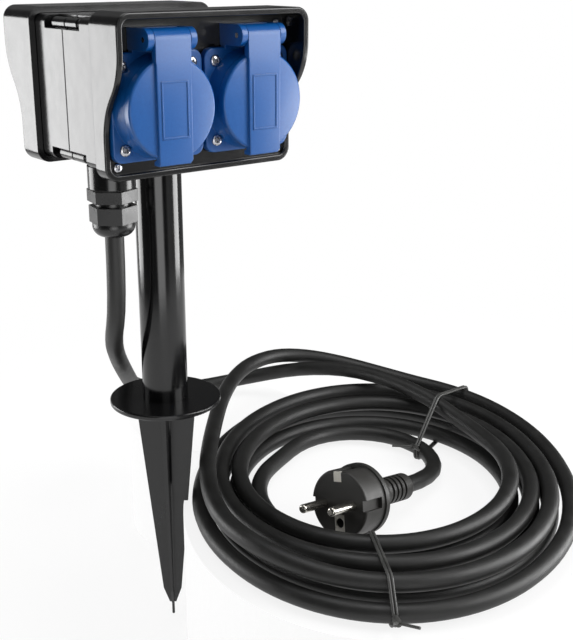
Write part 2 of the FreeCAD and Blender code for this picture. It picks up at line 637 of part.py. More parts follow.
def shell_gasket():
    body = frame_gasket(PARTING_Y - SHELL_GASKET / 2, PARTING_Y + SHELL_GASKET / 2, SHELL_WIDTH, SHELL_HEIGHT,
                        SHELL_CORNER, SHELL_WALL)
    notches = [pocket(side, up, POCKET_WALL) for side in (-1, 1) for up in (-1, 1)]
    spaces = [pocket(side, up, 0) for side in (-1, 1) for up in (-1, 1)]
    thin = plaque(SHELL_WIDTH, SHELL_HEIGHT, SHELL_CORNER, PARTING_Y - SHELL_GASKET / 2,
                  PARTING_Y + SHELL_GASKET / 2, z=VISOR_MID)
    sleeve_gap = block(-COLLAR_RADIUS, COLLAR_RADIUS, -5, 5, 0, SHELL_FLOOR + 1)
    return cut(fuse(body, *[notch.common(thin) for notch in notches]), *spaces, sleeve_gap)


save("shell_gasket", shell_gasket())

# Screws of the housing
save("front_corner_screws", *[screw(CORNER_HEAD, CORNER_HEAD_HIGH, CORNER_SHANK, CORNER_LENGTH,
                                    (x, FACE_FRONT, z), Y) for x, z in CORNERS])
save("rear_corner_screws", *[screw(CORNER_HEAD, CORNER_HEAD_HIGH, CORNER_SHANK, CORNER_LENGTH,
                                   (x, FACE_REAR, z), Y * -1) for x, z in CORNERS])
save("shell_screws", *[screw(CORNER_HEAD, CORNER_HEAD_HIGH, CLAMP_SCREW, CLAMP_LENGTH, (x, CLAMP_FRONT, z), Y)
                       for x, z in clamp_points()])


# Socket inserts
def outward(distance):
    """Y of a point this far before the front face plate."""
    return FACE_FRONT - distance


def spring(wire, mean, turns, length, middle):
    """Coil spring along X."""
    pitch = (length - wire) / turns
    helix = Part.makeHelix(pitch, pitch * turns, mean)
    start = V(mean, 0, 0)
    profile = Part.Wire(Part.makeCircle(wire / 2, start, V(0, mean, pitch / (2 * math.pi))))
    sweep = Part.BRepOffsetAPI.MakePipeShell(Part.Wire(helix.Edges))
    sweep.setFrenetMode(True)
    sweep.add(profile)
    sweep.build()
    sweep.makeSolid()
    coil = sweep.shape()
    coil.rotate(V(0, 0, 0), Y, 90)
    coil.rotate(V(0, 0, 0), X, 90)
    return moved(coil, middle[0] - pitch * turns / 2, middle[1], middle[2])


def socket_body(x):
    def disc(radius, near, far):
        return rod(radius, (x, outward(far), SOCKET_Z), Y, far - near)
    flange = plaque(FLANGE, FLANGE, FLANGE_CORNER, outward(-FLANGE_FRONT), outward(FLANGE_GASKET), x=x, z=SOCKET_Z)
    rim = [edge for edge in flange.Edges if edge.CenterOfMass.y < outward(-FLANGE_FRONT) + 0.01]
    flange = flange.makeFillet(0.8, rim)
    foot = Part.makeCone(COLLAR_TOP, COLLAR_FOOT, COLLAR_SHOULDER + FLANGE_FRONT,
                         V(x, outward(COLLAR_SHOULDER), SOCKET_Z), Y)
    well_tube = disc(WELL_RADIUS + WELL_WALL, -WELL_END - WELL_FLOOR, FLANGE_GASKET + 1)
    chamber = disc(CHAMBER_RADIUS, -WELL_END - WELL_FLOOR - CHAMBER_LENGTH, -WELL_END - WELL_FLOOR)
    axis_z = SOCKET_Z + HINGE_UP
    bearing = block(x - CHEEK_OUT, x + CHEEK_OUT, outward(BLOCK_FRONT), outward(0), axis_z - KNUCKLE,
                    axis_z + KNUCKLE)
    link = block(x - CHEEK_OUT, x + CHEEK_OUT, outward(-FLANGE_FRONT), outward(FLANGE_GASKET), SOCKET_Z + 20,
                 axis_z - KNUCKLE + 1)
    body = fuse(flange, foot, disc(COLLAR_NECK, COLLAR_SHOULDER, COLLAR_REACH), well_tube, chamber, bearing, link)
    for side in (-1, 1):
        ends = sorted((x + side * CHEEK_IN, x + side * CHEEK_OUT))
        cheek = fuse(block(*ends, outward(HINGE_OUT), outward(BLOCK_FRONT - 1), axis_z - KNUCKLE, axis_z + KNUCKLE),
                     rod(KNUCKLE, (ends[0], outward(HINGE_OUT), axis_z), X, ends[1] - ends[0]))
        body = fuse(body, cheek)
    hollow = disc(CHAMBER_RADIUS - WELL_WALL, -WELL_END - WELL_FLOOR - CHAMBER_LENGTH - 1, -WELL_END - WELL_FLOOR)
    body = cut(body, disc(WELL_RADIUS, -WELL_END, COLLAR_REACH + 1), hollow)
    back = -WELL_END - WELL_FLOOR
    for offset in CONTACTS:
        post = rod(CONTACT_OUT + WELL_WALL, (x + offset, outward(back), SOCKET_Z), Y, CONTACT_LENGTH)
        body = fuse(body, post)
        body = cut(body, rod(CONTACT_OUT, (x + offset, outward(back), SOCKET_Z), Y, CONTACT_LENGTH + 1),
                   rod(PIN_HOLE, (x + offset, outward(back) - WELL_FLOOR - 1, SOCKET_Z), Y, WELL_FLOOR + 2))
        key_x = sorted((x + math.copysign(WELL_RADIUS - KEY_DEEP, offset), x + math.copysign(WELL_RADIUS + 0.5, offset)))
        body = fuse(body, block(*key_x, outward(COLLAR_REACH - 1), outward(-WELL_END), SOCKET_Z - KEY_WIDTH / 2,
                                SOCKET_Z + KEY_WIDTH / 2))
    holes = [rod(FLANGE_SHANK + THREAD_GAP, (x + dx, outward(-FLANGE_FRONT + 1), SOCKET_Z + dz), Y, 8)
             for dx, dz in FLANGE_HOLES]
    holes += [rod(FLANGE_HEAD + FIT_GAP, (x + dx, outward(COLLAR_SHOULDER), SOCKET_Z + dz), Y,
                  COLLAR_SHOULDER + FLANGE_FRONT) for dx, dz in FLANGE_HOLES]
    bore = rod(HINGE_PIN, (x - CHEEK_OUT - 1, outward(HINGE_OUT), axis_z), X, 2 * CHEEK_OUT + 2)
    return cut(body, bore, *holes)


def flange_gasket(x):
    plate = plaque(FLANGE, FLANGE, FLANGE_CORNER, outward(FLANGE_GASKET), outward(0), x=x, z=SOCKET_Z)
    holes = [rod(FLANGE_SHANK + THREAD_GAP, (x + dx, outward(2), SOCKET_Z + dz), Y, 3) for dx, dz in FLANGE_HOLES]
    return cut(plate, rod(WELL_RADIUS + WELL_WALL + FIT_GAP, (x, outward(2), SOCKET_Z), Y, 3), *holes)


def socket_lid(x):
    axis_z = SOCKET_Z + HINGE_UP
    centre_z = SOCKET_Z - LID_DROP
    disc = rod(LID_RADIUS, (x, outward(LID_FRONT), centre_z), Y, LID_FRONT - LID_SKIRT_BACK)
    front = [edge for edge in disc.Edges if edge.CenterOfMass.y < outward(LID_FRONT) + 0.01
             and isinstance(edge.Curve, Part.Circle)]
    disc = disc.makeFillet(LID_EDGE, front)
    disc = cut(disc, rod(LID_RADIUS - LID_SKIRT, (x, outward(LID_FRONT - LID_THICK), SOCKET_Z), Y, 10))
    half_top, half_foot = STRAP_TOP / 2, STRAP_FOOT / 2
    foot_z = SOCKET_Z - TAB_FOOT
    outline = [V(x - half_top, 0, axis_z), V(x + half_top, 0, axis_z), V(x + half_foot, 0, foot_z + 1.6),
               V(x + half_foot - 1.6, 0, foot_z), V(x - half_foot, 0, foot_z)]
    face = moved(Part.Face(Part.makePolygon(outline + outline[:1])), y=outward(STRAP_FRONT))
    strap = face.extrude(Y * (STRAP_FRONT - LID_FRONT + LID_THICK))
    edges = [edge for edge in strap.Edges if edge.CenterOfMass.y < outward(STRAP_FRONT) + 0.01
             and edge.CenterOfMass.z < axis_z - 0.1]
    strap = strap.makeFillet(0.5, edges)
    tab = block(x - half_foot, x + half_foot - 1.6, outward(LID_FRONT), outward(TAB_BACK), foot_z,
                foot_z + TAB_THICK)
    wrap = rod(KNUCKLE, (x - half_top, outward(HINGE_OUT), axis_z), X, STRAP_TOP)
    neck = block(x - half_top, x + half_top, outward(STRAP_FRONT), outward(LID_FRONT - LID_THICK),
                 SOCKET_Z + LID_RADIUS - 3, axis_z)
    ridge = block(x - RIDGE_WIDTH / 2, x + RIDGE_WIDTH / 2, outward(STRAP_FRONT + RIDGE_RISE),
                  outward(STRAP_FRONT - RIDGE_RISE), SOCKET_Z + RIDGE_FOOT, SOCKET_Z + RIDGE_TOP)
    within = block(x - RIDGE_WIDTH / 2 + RIDGE_LINE, x + RIDGE_WIDTH / 2 - RIDGE_LINE, outward(STRAP_FRONT + 1),
                   outward(0), SOCKET_Z + RIDGE_FOOT + RIDGE_LINE, SOCKET_Z + RIDGE_TOP - RIDGE_LINE)
    body = fuse(disc, strap, tab, wrap, neck, cut(ridge, within))
    inner_half = half_top - KNUCKLE_WIDTH
    spring_room = rod(KNUCKLE_CAVITY, (x - inner_half, outward(HINGE_OUT), axis_z), X, 2 * inner_half)
    slot = block(x - inner_half, x + inner_half, outward(HINGE_OUT), outward(HINGE_OUT - KNUCKLE - 1),
                 axis_z - KNUCKLE_CAVITY, axis_z + 1.5)
    bore = rod(HINGE_PIN + PIN_GAP, (x - half_top - 1, outward(HINGE_OUT), axis_z), X, STRAP_TOP + 2)
    return cut(body, spring_room, slot, bore)


def socket_parts(name, x):
    axis_z = SOCKET_Z + HINGE_UP
    back = -WELL_END - WELL_FLOOR
    save(f"{name}_socket", socket_body(x))
    save(f"{name}_flange_gasket", flange_gasket(x))
    save(f"{name}_lid", socket_lid(x))
    save(f"{name}_hinge_pin", rod(HINGE_PIN, (x - CHEEK_OUT, outward(HINGE_OUT), axis_z), X, 2 * CHEEK_OUT))
    save(f"{name}_lid_spring", spring(SPRING_WIRE, SPRING_MEAN, SPRING_TURNS, STRAP_TOP - 2 * KNUCKLE_WIDTH,
                                      (x, outward(HINGE_OUT), axis_z)))
    save(f"{name}_lid_seal", pipe(COLLAR_NECK, COLLAR_NECK - SEAL_WIDTH,
                                  (x, outward(LID_FRONT - LID_THICK), SOCKET_Z), Y, SEAL_THICK))
    floor_strip = block(x - EARTH_WIDTH / 2, x + EARTH_WIDTH / 2, outward(-WELL_END + EARTH_THICK),
                        outward(-WELL_END), SOCKET_Z - WELL_RADIUS + 0.2, SOCKET_Z + WELL_RADIUS - 0.2)
    arms = [block(x - EARTH_WIDTH / 2, x + EARTH_WIDTH / 2, outward(-WELL_END + EARTH_RISE), outward(-WELL_END),
                  *sorted((SOCKET_Z + up * (WELL_RADIUS - 0.2), SOCKET_Z + up * (WELL_RADIUS - 0.2 - EARTH_THICK))))
            for up in (-1, 1)]
    save(f"{name}_earth_strap", fuse(floor_strip, *arms))
    save(f"{name}_contacts", *[pipe(CONTACT_OUT, CONTACT_BORE, (x + offset, outward(back), SOCKET_Z), Y,
                                    CONTACT_LENGTH) for offset in CONTACTS])
    save(f"{name}_flange_screws", *[screw(FLANGE_HEAD, FLANGE_HEAD_HIGH, FLANGE_SHANK, FLANGE_SCREW_LENGTH,
                                          (x + dx, outward(-FLANGE_FRONT), SOCKET_Z + dz), Y)
                                    for dx, dz in FLANGE_HOLES])


socket_parts("left", -SOCKET_PITCH / 2)
socket_parts("right", SOCKET_PITCH / 2)


# Timer, outward from the rear face plate
def behind(distance):
    """Y of a point this far out from the rear face plate."""
    return FACE_REAR + distance


DIAL_Z = TIMER_Z + DIAL_UP
PLATE_OUT = TIMER_GASKET + TIMER_PLATE
BASE_OUT = PLATE_OUT + DIAL_GAP + DIAL_BASE


def timer_housing():
    plate = plaque(TIMER_PLATE_WIDTH, TIMER_PLATE_HEIGHT, COVER_CORNER, behind(TIMER_GASKET), behind(PLATE_OUT),
                   z=TIMER_Z)
    case = plaque(TIMER_CASE_WIDTH, TIMER_CASE_HEIGHT, COVER_CORNER, behind(-TIMER_CASE_DEPTH),
                  behind(TIMER_GASKET), z=TIMER_Z)
    hollow = plaque(TIMER_CASE_WIDTH - 2 * TIMER_CASE_WALL, TIMER_CASE_HEIGHT - 2 * TIMER_CASE_WALL, 1.0,
                    behind(-TIMER_CASE_DEPTH - 1), behind(TIMER_GASKET), z=TIMER_Z)
    bore = rod(SPINDLE + SPINDLE_GAP, (0, behind(-5), DIAL_Z), Y, 20)
    return cut(fuse(plate, case), hollow, bore)


def timer_gasket():
    plate = plaque(TIMER_PLATE_WIDTH, TIMER_PLATE_HEIGHT, COVER_CORNER, behind(0), behind(TIMER_GASKET), z=TIMER_Z)
    return cut(plate, plaque(TIMER_CASE_WIDTH + 2 * FIT_GAP, TIMER_CASE_HEIGHT + 2 * FIT_GAP, 1.5, behind(-1),
                             behind(TIMER_GASKET + 1), z=TIMER_Z))


def timer_movement():
    width = TIMER_CASE_WIDTH - 2 * TIMER_CASE_WALL - 2 * FIT_GAP
    height = TIMER_CASE_HEIGHT - 2 * TIMER_CASE_WALL - 2 * FIT_GAP
    gears = plaque(width, height, 1.0, behind(TIMER_GASKET - MOVEMENT_DEPTH), behind(TIMER_GASKET), z=TIMER_Z)
    motor = rod(MOTOR_RADIUS, (8.0, behind(-TIMER_CASE_DEPTH + 1), TIMER_Z - 5.0), Y,
                TIMER_CASE_DEPTH - 1 + TIMER_GASKET - MOVEMENT_DEPTH)
    return cut(fuse(gears, motor), rod(SPINDLE + SPINDLE_GAP, (0, behind(-5), DIAL_Z), Y, 20))


def timer_dial():
    base = rod(DIAL_RADIUS, (0, behind(PLATE_OUT + DIAL_GAP), DIAL_Z), Y, DIAL_BASE)
    ring = pipe(DIAL_RING, DIAL_HUB + DIAL_GAP, (0, behind(BASE_OUT), DIAL_Z), Y, DIAL_RING_RISE)
    return cut(fuse(base, ring), rod(SPINDLE, (0, behind(0), DIAL_Z), Y, 10))


def tappet(index, gap):
    piece = block(-TAPPET_WIDTH / 2, TAPPET_WIDTH / 2, behind(BASE_OUT + gap), behind(BASE_OUT + TAPPET_HIGH),
                  DIAL_Z + TAPPET_IN, DIAL_Z + TAPPET_OUT)
    piece.rotate(V(0, 0, DIAL_Z), Y, 360 * index / TAPPETS)
    return piece


def timer_cover():
    middle = TIMER_Z + (COVER_TOP - COVER_FOOT) / 2
    box = plaque(COVER_WIDTH, COVER_TOP + COVER_FOOT, COVER_CORNER, behind(COVER_BACK), behind(COVER_FRONT), z=middle)
    front = [edge for edge in box.Edges if edge.CenterOfMass.y > behind(COVER_FRONT) - 0.01]
    box = box.makeFillet(0.8, front)
    axis_y, axis_z = behind(COVER_HINGE_OUT), TIMER_Z + COVER_HINGE_UP
    for side in (-1, 1):
        ends = sorted((side * COVER_KNUCKLE_IN, side * COVER_KNUCKLE_OUT))
        arm = block(*ends, axis_y - COVER_KNUCKLE / 2, behind(COVER_FRONT), TIMER_Z + COVER_TOP - 0.5, axis_z)
        knuckle = rod(COVER_KNUCKLE, (ends[0], axis_y, axis_z), X, ends[1] - ends[0])
        box = fuse(box, arm, knuckle)
    inside_top = TIMER_Z + COVER_TOP - COVER_TOP_WALL
    inside_foot = TIMER_Z - COVER_FOOT + COVER_WALL
    inside = plaque(COVER_WIDTH - 2 * COVER_WALL, inside_top - inside_foot, COVER_CORNER - COVER_TOP_WALL,
                    behind(0), behind(COVER_FRONT - COVER_FACE), z=(inside_top + inside_foot) / 2)
    bore = rod(COVER_PIN + PIN_GAP, (-COVER_BOSS_IN, axis_y, axis_z), X, 2 * COVER_BOSS_IN)
    return cut(box, inside, bore)


save("timer_housing", timer_housing())
save("timer_gasket", timer_gasket())
save("timer_movement", timer_movement())
save("timer_spindle", rod(SPINDLE, (0, behind(-5), DIAL_Z), Y, BASE_OUT + 5))
save("timer_dial", timer_dial())
save("timer_hub", rod(DIAL_HUB, (0, behind(BASE_OUT), DIAL_Z), Y, DIAL_HUB_RISE))
save("timer_tappets", *[tappet(i, 0) for i in range(1, TAPPETS)])
save("timer_tappet_set", tappet(0, TAPPET_GAP))
save("timer_cover", timer_cover())
save("cover_pin", rod(COVER_PIN, (-COVER_BOSS_OUT, behind(COVER_HINGE_OUT), TIMER_Z + COVER_HINGE_UP), X,
                      2 * COVER_BOSS_OUT))
save("cover_spring", spring(COVER_SPRING_WIRE, COVER_SPRING_MEAN, COVER_SPRING_TURNS, 2 * COVER_KNUCKLE_IN,
                            (0, behind(COVER_HINGE_OUT), TIMER_Z + COVER_HINGE_UP)))

# Cable gland under the left front corner
SEAT_TOP = HEX_FOOT - 2.5
NECK_END = HEX_FOOT - GLAND_NECK_LONG
CLAW_FOOT = NECK_END - 4.8
CORD_BORE = CORD_RADIUS + 0.4


def gland_body():
    at = (GLAND_X, GLAND_Y)
    stem_top = SHELL_FLOOR - SHELL_WALL + GLAND_STEM_TOP
    body = fuse(hexagon(GLAND_HEX, (*at, HEX_FOOT), GLAND_HEX_HIGH),
                rod(GLAND_THREAD, (*at, HEX_TOP), Z, stem_top - HEX_TOP),
                rod(GLAND_NECK, (*at, NECK_END), Z, GLAND_NECK_LONG))
    seat = rod(GLAND_SEAL_OUT, (*at, NECK_END - 1), Z, SEAT_TOP - NECK_END + 1)
    return cut(body, seat, rod(CORD_BORE, (*at, NECK_END - 1), Z, VISOR_HEIGHT))


def gland_nut():
    at = (GLAND_X, GLAND_Y)
    flat = GLAND_NUT_FLATS / 2
    start, end = V(flat, 0, NUT_FOOT), V(GLAND_MOUTH, 0, CORD_EXIT)
    bulge = V((flat + GLAND_MOUTH) / 2 + 1.3, 0, (NUT_FOOT + CORD_EXIT) / 2 - 1.1)
    lines = [Part.makeLine(end, V(0, 0, CORD_EXIT)), Part.makeLine(V(0, 0, CORD_EXIT), V(0, 0, NUT_FOOT)),
             Part.makeLine(V(0, 0, NUT_FOOT), start)]
    wire = Part.Wire(Part.__sortEdges__([Part.Arc(start, bulge, end).toShape()] + lines))
    dome = moved(Part.Face(wire).revolve(V(0, 0, 0), Z, 360), *at)
    body = fuse(hexagon(GLAND_NUT_FLATS, (*at, NUT_FOOT), GLAND_NUT_HIGH), dome)
    return cut(body, rod(GLAND_NECK + CORD_SEAT, (*at, NECK_END - 0.2), Z, 20),
               rod(GLAND_SEAL_OUT + CORD_SEAT, (*at, CLAW_FOOT), Z, 10),
               rod(CORD_BORE, (*at, CORD_EXIT - 1), Z, 20))


def gland_claw():
    at = (GLAND_X, GLAND_Y)
    claw = pipe(GLAND_SEAL_OUT, CORD_RADIUS + CORD_SEAT, (*at, CLAW_FOOT), Z, NECK_END - CLAW_FOOT)
    slots = []
    for i in range(GLAND_CLAW_SLOTS):
        slot = block(GLAND_X, GLAND_X + 10, GLAND_Y - 0.5, GLAND_Y + 0.5, CLAW_FOOT - 1, NECK_END - 1.4)
        slot.rotate(V(GLAND_X, GLAND_Y, 0), Z, 360 * i / GLAND_CLAW_SLOTS)
        slots.append(slot)
    return cut(claw, *slots)


save("gland_body", gland_body())
save("gland_ring", pipe(GLAND_HEX / 2, GLAND_THREAD + CORD_SEAT, (GLAND_X, GLAND_Y, HEX_TOP), Z, GLAND_RING))
save("gland_seal", pipe(GLAND_SEAL_OUT, CORD_RADIUS + CORD_SEAT, (GLAND_X, GLAND_Y, NECK_END), Z,
                        SEAT_TOP - NECK_END))
save("gland_claw", gland_claw())
save("gland_nut", gland_nut())


# Routes of straight runs and tangent arcs
def rounded_route(points, share=0.45, bend=None):
    """Wire through the points, its corners rounded by arcs; also its smallest radius and its length."""
    points = [V(*point) for point in points]
    edges, radii, start = [], [], points[0]
    for before, corner, after in zip(points, points[1:], points[2:]):
        incoming, outgoing = (corner - before), (after - corner)
        half = incoming.getAngle(outgoing) / 2
        tangent = share * min(incoming.Length, outgoing.Length) if bend is None else bend * math.tan(half)
        radius = tangent / math.tan(half)
        radii.append(radius)
        into, out = incoming.normalize(), outgoing.normalize()
        first, last = corner - into * tangent, corner + out * tangent
        toward = (out - into).normalize()
        middle = corner + toward * (radius / math.cos(half) - radius)
        if (first - start).Length > 1e-6:
            edges.append(Part.makeLine(start, first))
        edges.append(Part.Arc(first, middle, last).toShape())
        start = last
    edges.append(Part.makeLine(start, points[-1]))
    wire = Part.Wire(edges)
    return wire, min(radii), wire.Length


def tube(wire, radius):
    start = wire.Edges[0].valueAt(wire.Edges[0].FirstParameter)
    heading = wire.Edges[0].tangentAt(wire.Edges[0].FirstParameter)
    sweep = Part.BRepOffsetAPI.MakePipeShell(wire)
    sweep.add(Part.Wire(Part.makeCircle(radius, start, heading)))
    sweep.build()
    sweep.makeSolid()
    return sweep.shape()


# Sheathed end inside the gland, its three cores and the terminal block
SHEATH_TOP = SHELL_FLOOR + SHEATH_INSIDE
save("cord_sheath_end", rod(CORD_RADIUS, (GLAND_X, GLAND_Y, CORD_EXIT), Z, SHEATH_TOP - CORD_EXIT))
save("terminal_block", block(*TERMINAL_X, *TERMINAL_Y, SHELL_FLOOR, SHELL_FLOOR + TERMINAL_HIGH))
cores = []
for degrees, rise in ((90, 5.1), (210, 8.1), (330, 8.1)):
    core_x = GLAND_X + CORE_SHIFT * math.cos(math.radians(degrees))
    core_y = GLAND_Y + CORE_SHIFT * math.sin(math.radians(degrees))
    route = [(core_x, core_y, SHEATH_TOP), (core_x, core_y, SHEATH_TOP + rise),
             (core_x, TERMINAL_Y[0], SHEATH_TOP + rise)]
    cores.append(tube(rounded_route(route, bend=CORE_BEND)[0], CORE_RADIUS))
save("inner_wires", *cores)

# Directions on the ground
AWAY = V(math.sin(math.radians(COIL_TURN)), math.cos(math.radians(COIL_TURN)), 0)
ACROSS = V(math.cos(math.radians(COIL_TURN)), -math.sin(math.radians(COIL_TURN)), 0)
LOWER_LAYER = CORD_RADIUS + COIL_LIFT


def placed(away, across, height):
    """Point of the ground's layout in the object's frame."""
    return AWAY * away + ACROSS * across + Z * height


def heading(degrees, rise=0.0):
    """Direction clockwise from AWAY, raised by an angle."""
    turn, lift = math.radians(degrees), math.radians(rise)
    return (AWAY * math.cos(turn) + ACROSS * math.sin(turn)) * math.cos(lift) + Z * math.sin(lift)


# Coil: two layers of turns, outwards below and inwards on top
def eased(share):
    """Smooth rise from 0 to 1."""
    share = min(1, max(0, share))
    return share ** 2 * (3 - 2 * share)


def loosened(turn):
    """Shift of the loose turn at a place."""
    for before, after in zip(LOOSE_TURN, LOOSE_TURN[1:]):
        if before[0] <= turn <= after[0]:
            share = eased((turn - before[0]) / (after[0] - before[0]))
            return [a + (b - a) * share for a, b in zip(before[1:], after[1:])]
    return [0.0, 0.0, 0.0]


def coil_point(turn):
    angle = math.radians(COIL_START - 360 * turn)
    layer_turn = turn if turn <= COIL_REVERSE else 2 * COIL_REVERSE - turn
    share = (max(0, layer_turn) / COIL_REVERSE) ** COIL_OPENS
    along_reach = REACH_FAR if math.cos(angle) > 0 else REACH_NEAR
    side_reach = REACH_RIGHT if math.sin(angle) > 0 else REACH_LEFT
    shift = loosened(turn)
    away = COIL_MID[0] + math.cos(angle) * (along_reach[0] + (along_reach[1] - along_reach[0]) * share)
    across = COIL_MID[1] + math.sin(angle) * (side_reach[0] + (side_reach[1] - side_reach[0]) * share)
    height = LOWER_LAYER + LAYER_RISE * eased((turn - COIL_REVERSE) / CLIMB + 0.5)
    height += EXIT_RISE * eased((turn - COIL_TURNS) / EXIT_TURN + 1)
    return placed(away + shift[0], across + shift[1], height + shift[2])


def coil_heading(turn):
    step = 0.002
    return (coil_point(turn + step) - coil_point(turn - step)).normalize()


def arc_from(start, direction, end):
    """Arc that leaves start along direction and reaches end; also its direction there."""
    chord = end - start
    side = direction.cross(chord).cross(direction)
    if side.Length < 1e-6 * chord.Length:
        return Part.makeLine(start, end), direction
    side.normalize()
    radius = chord.Length ** 2 / (2 * chord.dot(side))
    centre = start + side * radius
    middle = centre + (start + end - centre * 2).normalize() * radius
    arc = Part.Arc(start, middle, end).toShape()
    return arc, arc.tangentAt(arc.LastParameter)


def biarc(start, leaving, end, arriving):
    """Two arcs that join two points with given directions, tangent to one another."""
    span = end - start
    toward = span.dot(leaving + arriving)
    spread = 2 * (1 - leaving.dot(arriving))
    reach = (math.sqrt(toward ** 2 + spread * span.dot(span)) - toward) / spread
    joint = (start + leaving * reach + end - arriving * reach) / 2
    first, turned = arc_from(start, leaving, joint)
    second, _ = arc_from(joint, turned, end)
    return [first, second]


def coil_wire():
    straight = 2 * CORD_RADIUS
    loose = [LOOSE_TURN[0][0], LOOSE_TURN[-1][0]]
    stations = [i / 4 for i in range(int(COIL_TURNS * 4) + 1)]
    stations = [turn for turn in stations if turn < COIL_TURNS - 0.1 and not loose[0] - 0.1 < turn < loose[1] + 0.1]
    steps = round((loose[1] - loose[0]) * LOOSE_STEPS)
    stations += [loose[0] + (loose[1] - loose[0]) * i / steps for i in range(steps + 1)]
    stations = sorted(stations) + [COIL_TURNS]
    first, last = coil_point(0), coil_point(COIL_TURNS)
    edges = [Part.makeLine(first - coil_heading(0) * straight, first)]
    for start, end in zip(stations, stations[1:]):
        edges += biarc(coil_point(start), coil_heading(start), coil_point(end), coil_heading(end))
    edges.append(Part.makeLine(last, last + coil_heading(COIL_TURNS) * straight))
    return Part.Wire(edges)


def self_gap(wire, samples=1400):
    """Least gap between parts of the cable that are more than a third of a turn apart."""
    points = wire.discretize(samples)
    step = wire.Length / (samples - 1)
    apart = int(120 / step)
    least = 1e9
    for i in range(0, samples, 2):
        for j in range(i + apart, samples, 2):
            gap = points[i].distanceToPoint(points[j])
            if gap < least:
                least = gap
    return least - 2 * CORD_RADIUS


def report_cord(name, wire, solid):
    ideal = math.pi * CORD_RADIUS ** 2 * wire.Length
    print(name, "length", round(wire.Length, 1), "volume over ideal", round(solid.Volume / ideal, 4),
          "lowest", round(solid.BoundBox.ZMin, 2))


coil = coil_wire()
coil_tube = tube(coil, CORD_RADIUS)
report_cord("cord_coil", coil, coil_tube)
print("least radius of the coil", round(min(edge.Curve.Radius for edge in coil.Edges
                                            if isinstance(edge.Curve, Part.Circle)), 1),
      "least gap between turns", round(self_gap(coil), 2))
save("cord_coil", coil_tube)

# Plug
plug_back = heading(PLUG_HEADING, -PLUG_TILT)
plug_up = heading(PLUG_HEADING, 90 - PLUG_TILT)
plug_side = plug_back.cross(plug_up)
roll = math.radians(PLUG_ROLL)
plug_side, plug_up = (plug_side * math.cos(roll) + plug_up * math.sin(roll),
                      plug_up * math.cos(roll) - plug_side * math.sin(roll))
plug_face = placed(*PLUG_FACE)
PLUG_LONG = PLUG_DEPTH + PLUG_RIM_LONG + PLUG_CONE + RELIEF_LONG
relief_end = plug_face + plug_back * PLUG_LONG

# Cable between the coil and the plug
coil_in = coil_point(0) - coil_heading(0) * 2 * CORD_RADIUS
final = math.degrees(math.atan2(coil_heading(0).dot(ACROSS), coil_heading(0).dot(AWAY)))
turn_each = (PLUG_HEADING - final) % 360 / TAIL_CORNERS
legs = [heading(PLUG_HEADING - turn_each * i) for i in range(TAIL_CORNERS + 1)]
gap = coil_in - relief_end
legs_sum = V(0, 0, 0)
for leg in legs[1:]:
    legs_sum += leg
level = legs[0].cross(legs_sum).z
first_leg = gap.cross(legs_sum).z / level
leg_long = legs[0].cross(gap).z / level
tail_points = [relief_end, relief_end + plug_back * (first_leg / math.cos(math.radians(PLUG_TILT)))]
for leg in legs[1:-1]:
    corner = tail_points[-1] + leg * leg_long
    tail_points.append(V(corner.x, corner.y, LOWER_LAYER))
tail_points.append(coil_in)
print("tail legs", round(first_leg, 1), round(leg_long, 1), "turn at each corner", round(turn_each, 1))
tail, tail_bend, tail_length = rounded_route(tail_points)
tail_tube = tube(tail, CORD_RADIUS)
report_cord("cord_tail", tail, tail_tube)
print("least radius of the tail", round(tail_bend, 1))
save("cord_tail", tail_tube)

# Cable between the gland and the coil
coil_out = coil_point(COIL_TURNS) + coil_heading(COIL_TURNS) * 2 * CORD_RADIUS
drop_points = [V(GLAND_X, GLAND_Y, CORD_EXIT), V(GLAND_X, GLAND_Y, DROP_STRAIGHT)]
drop_points += [V(*corner) for corner in DROP_CORNERS]
drop_points += [placed(*corner) for corner in LEAD_CORNERS] + [coil_out]
drop, drop_bend, drop_length = rounded_route(drop_points)
drop_tube = tube(drop, CORD_RADIUS)
report_cord("cord_drop", drop, drop_tube)
print("least radius of the drop", round(drop_bend, 1), "longest run",
      round(max(a.distanceToPoint(b) for a, b in zip(drop_points, drop_points[1:])), 1))
save("cord_drop", drop_tube)
print("cable shown", round(coil.Length + drop_length + tail_length, 0))


# Plug: bodies are made along +Z with the face at the origin, then laid in place
def laid(shape):
    """Moves a shape from the plug's own axes to its place: -Z becomes the way to the cable."""
    copy = shape.copy()
    place = FreeCAD.Placement(FreeCAD.Matrix(
        plug_side.x, plug_up.x, -plug_back.x, plug_face.x,
        plug_side.y, plug_up.y, -plug_back.y, plug_face.y,
        plug_side.z, plug_up.z, -plug_back.z, plug_face.z,
        0, 0, 0, 1))
    copy.Placement = place.multiply(copy.Placement)
    return copy


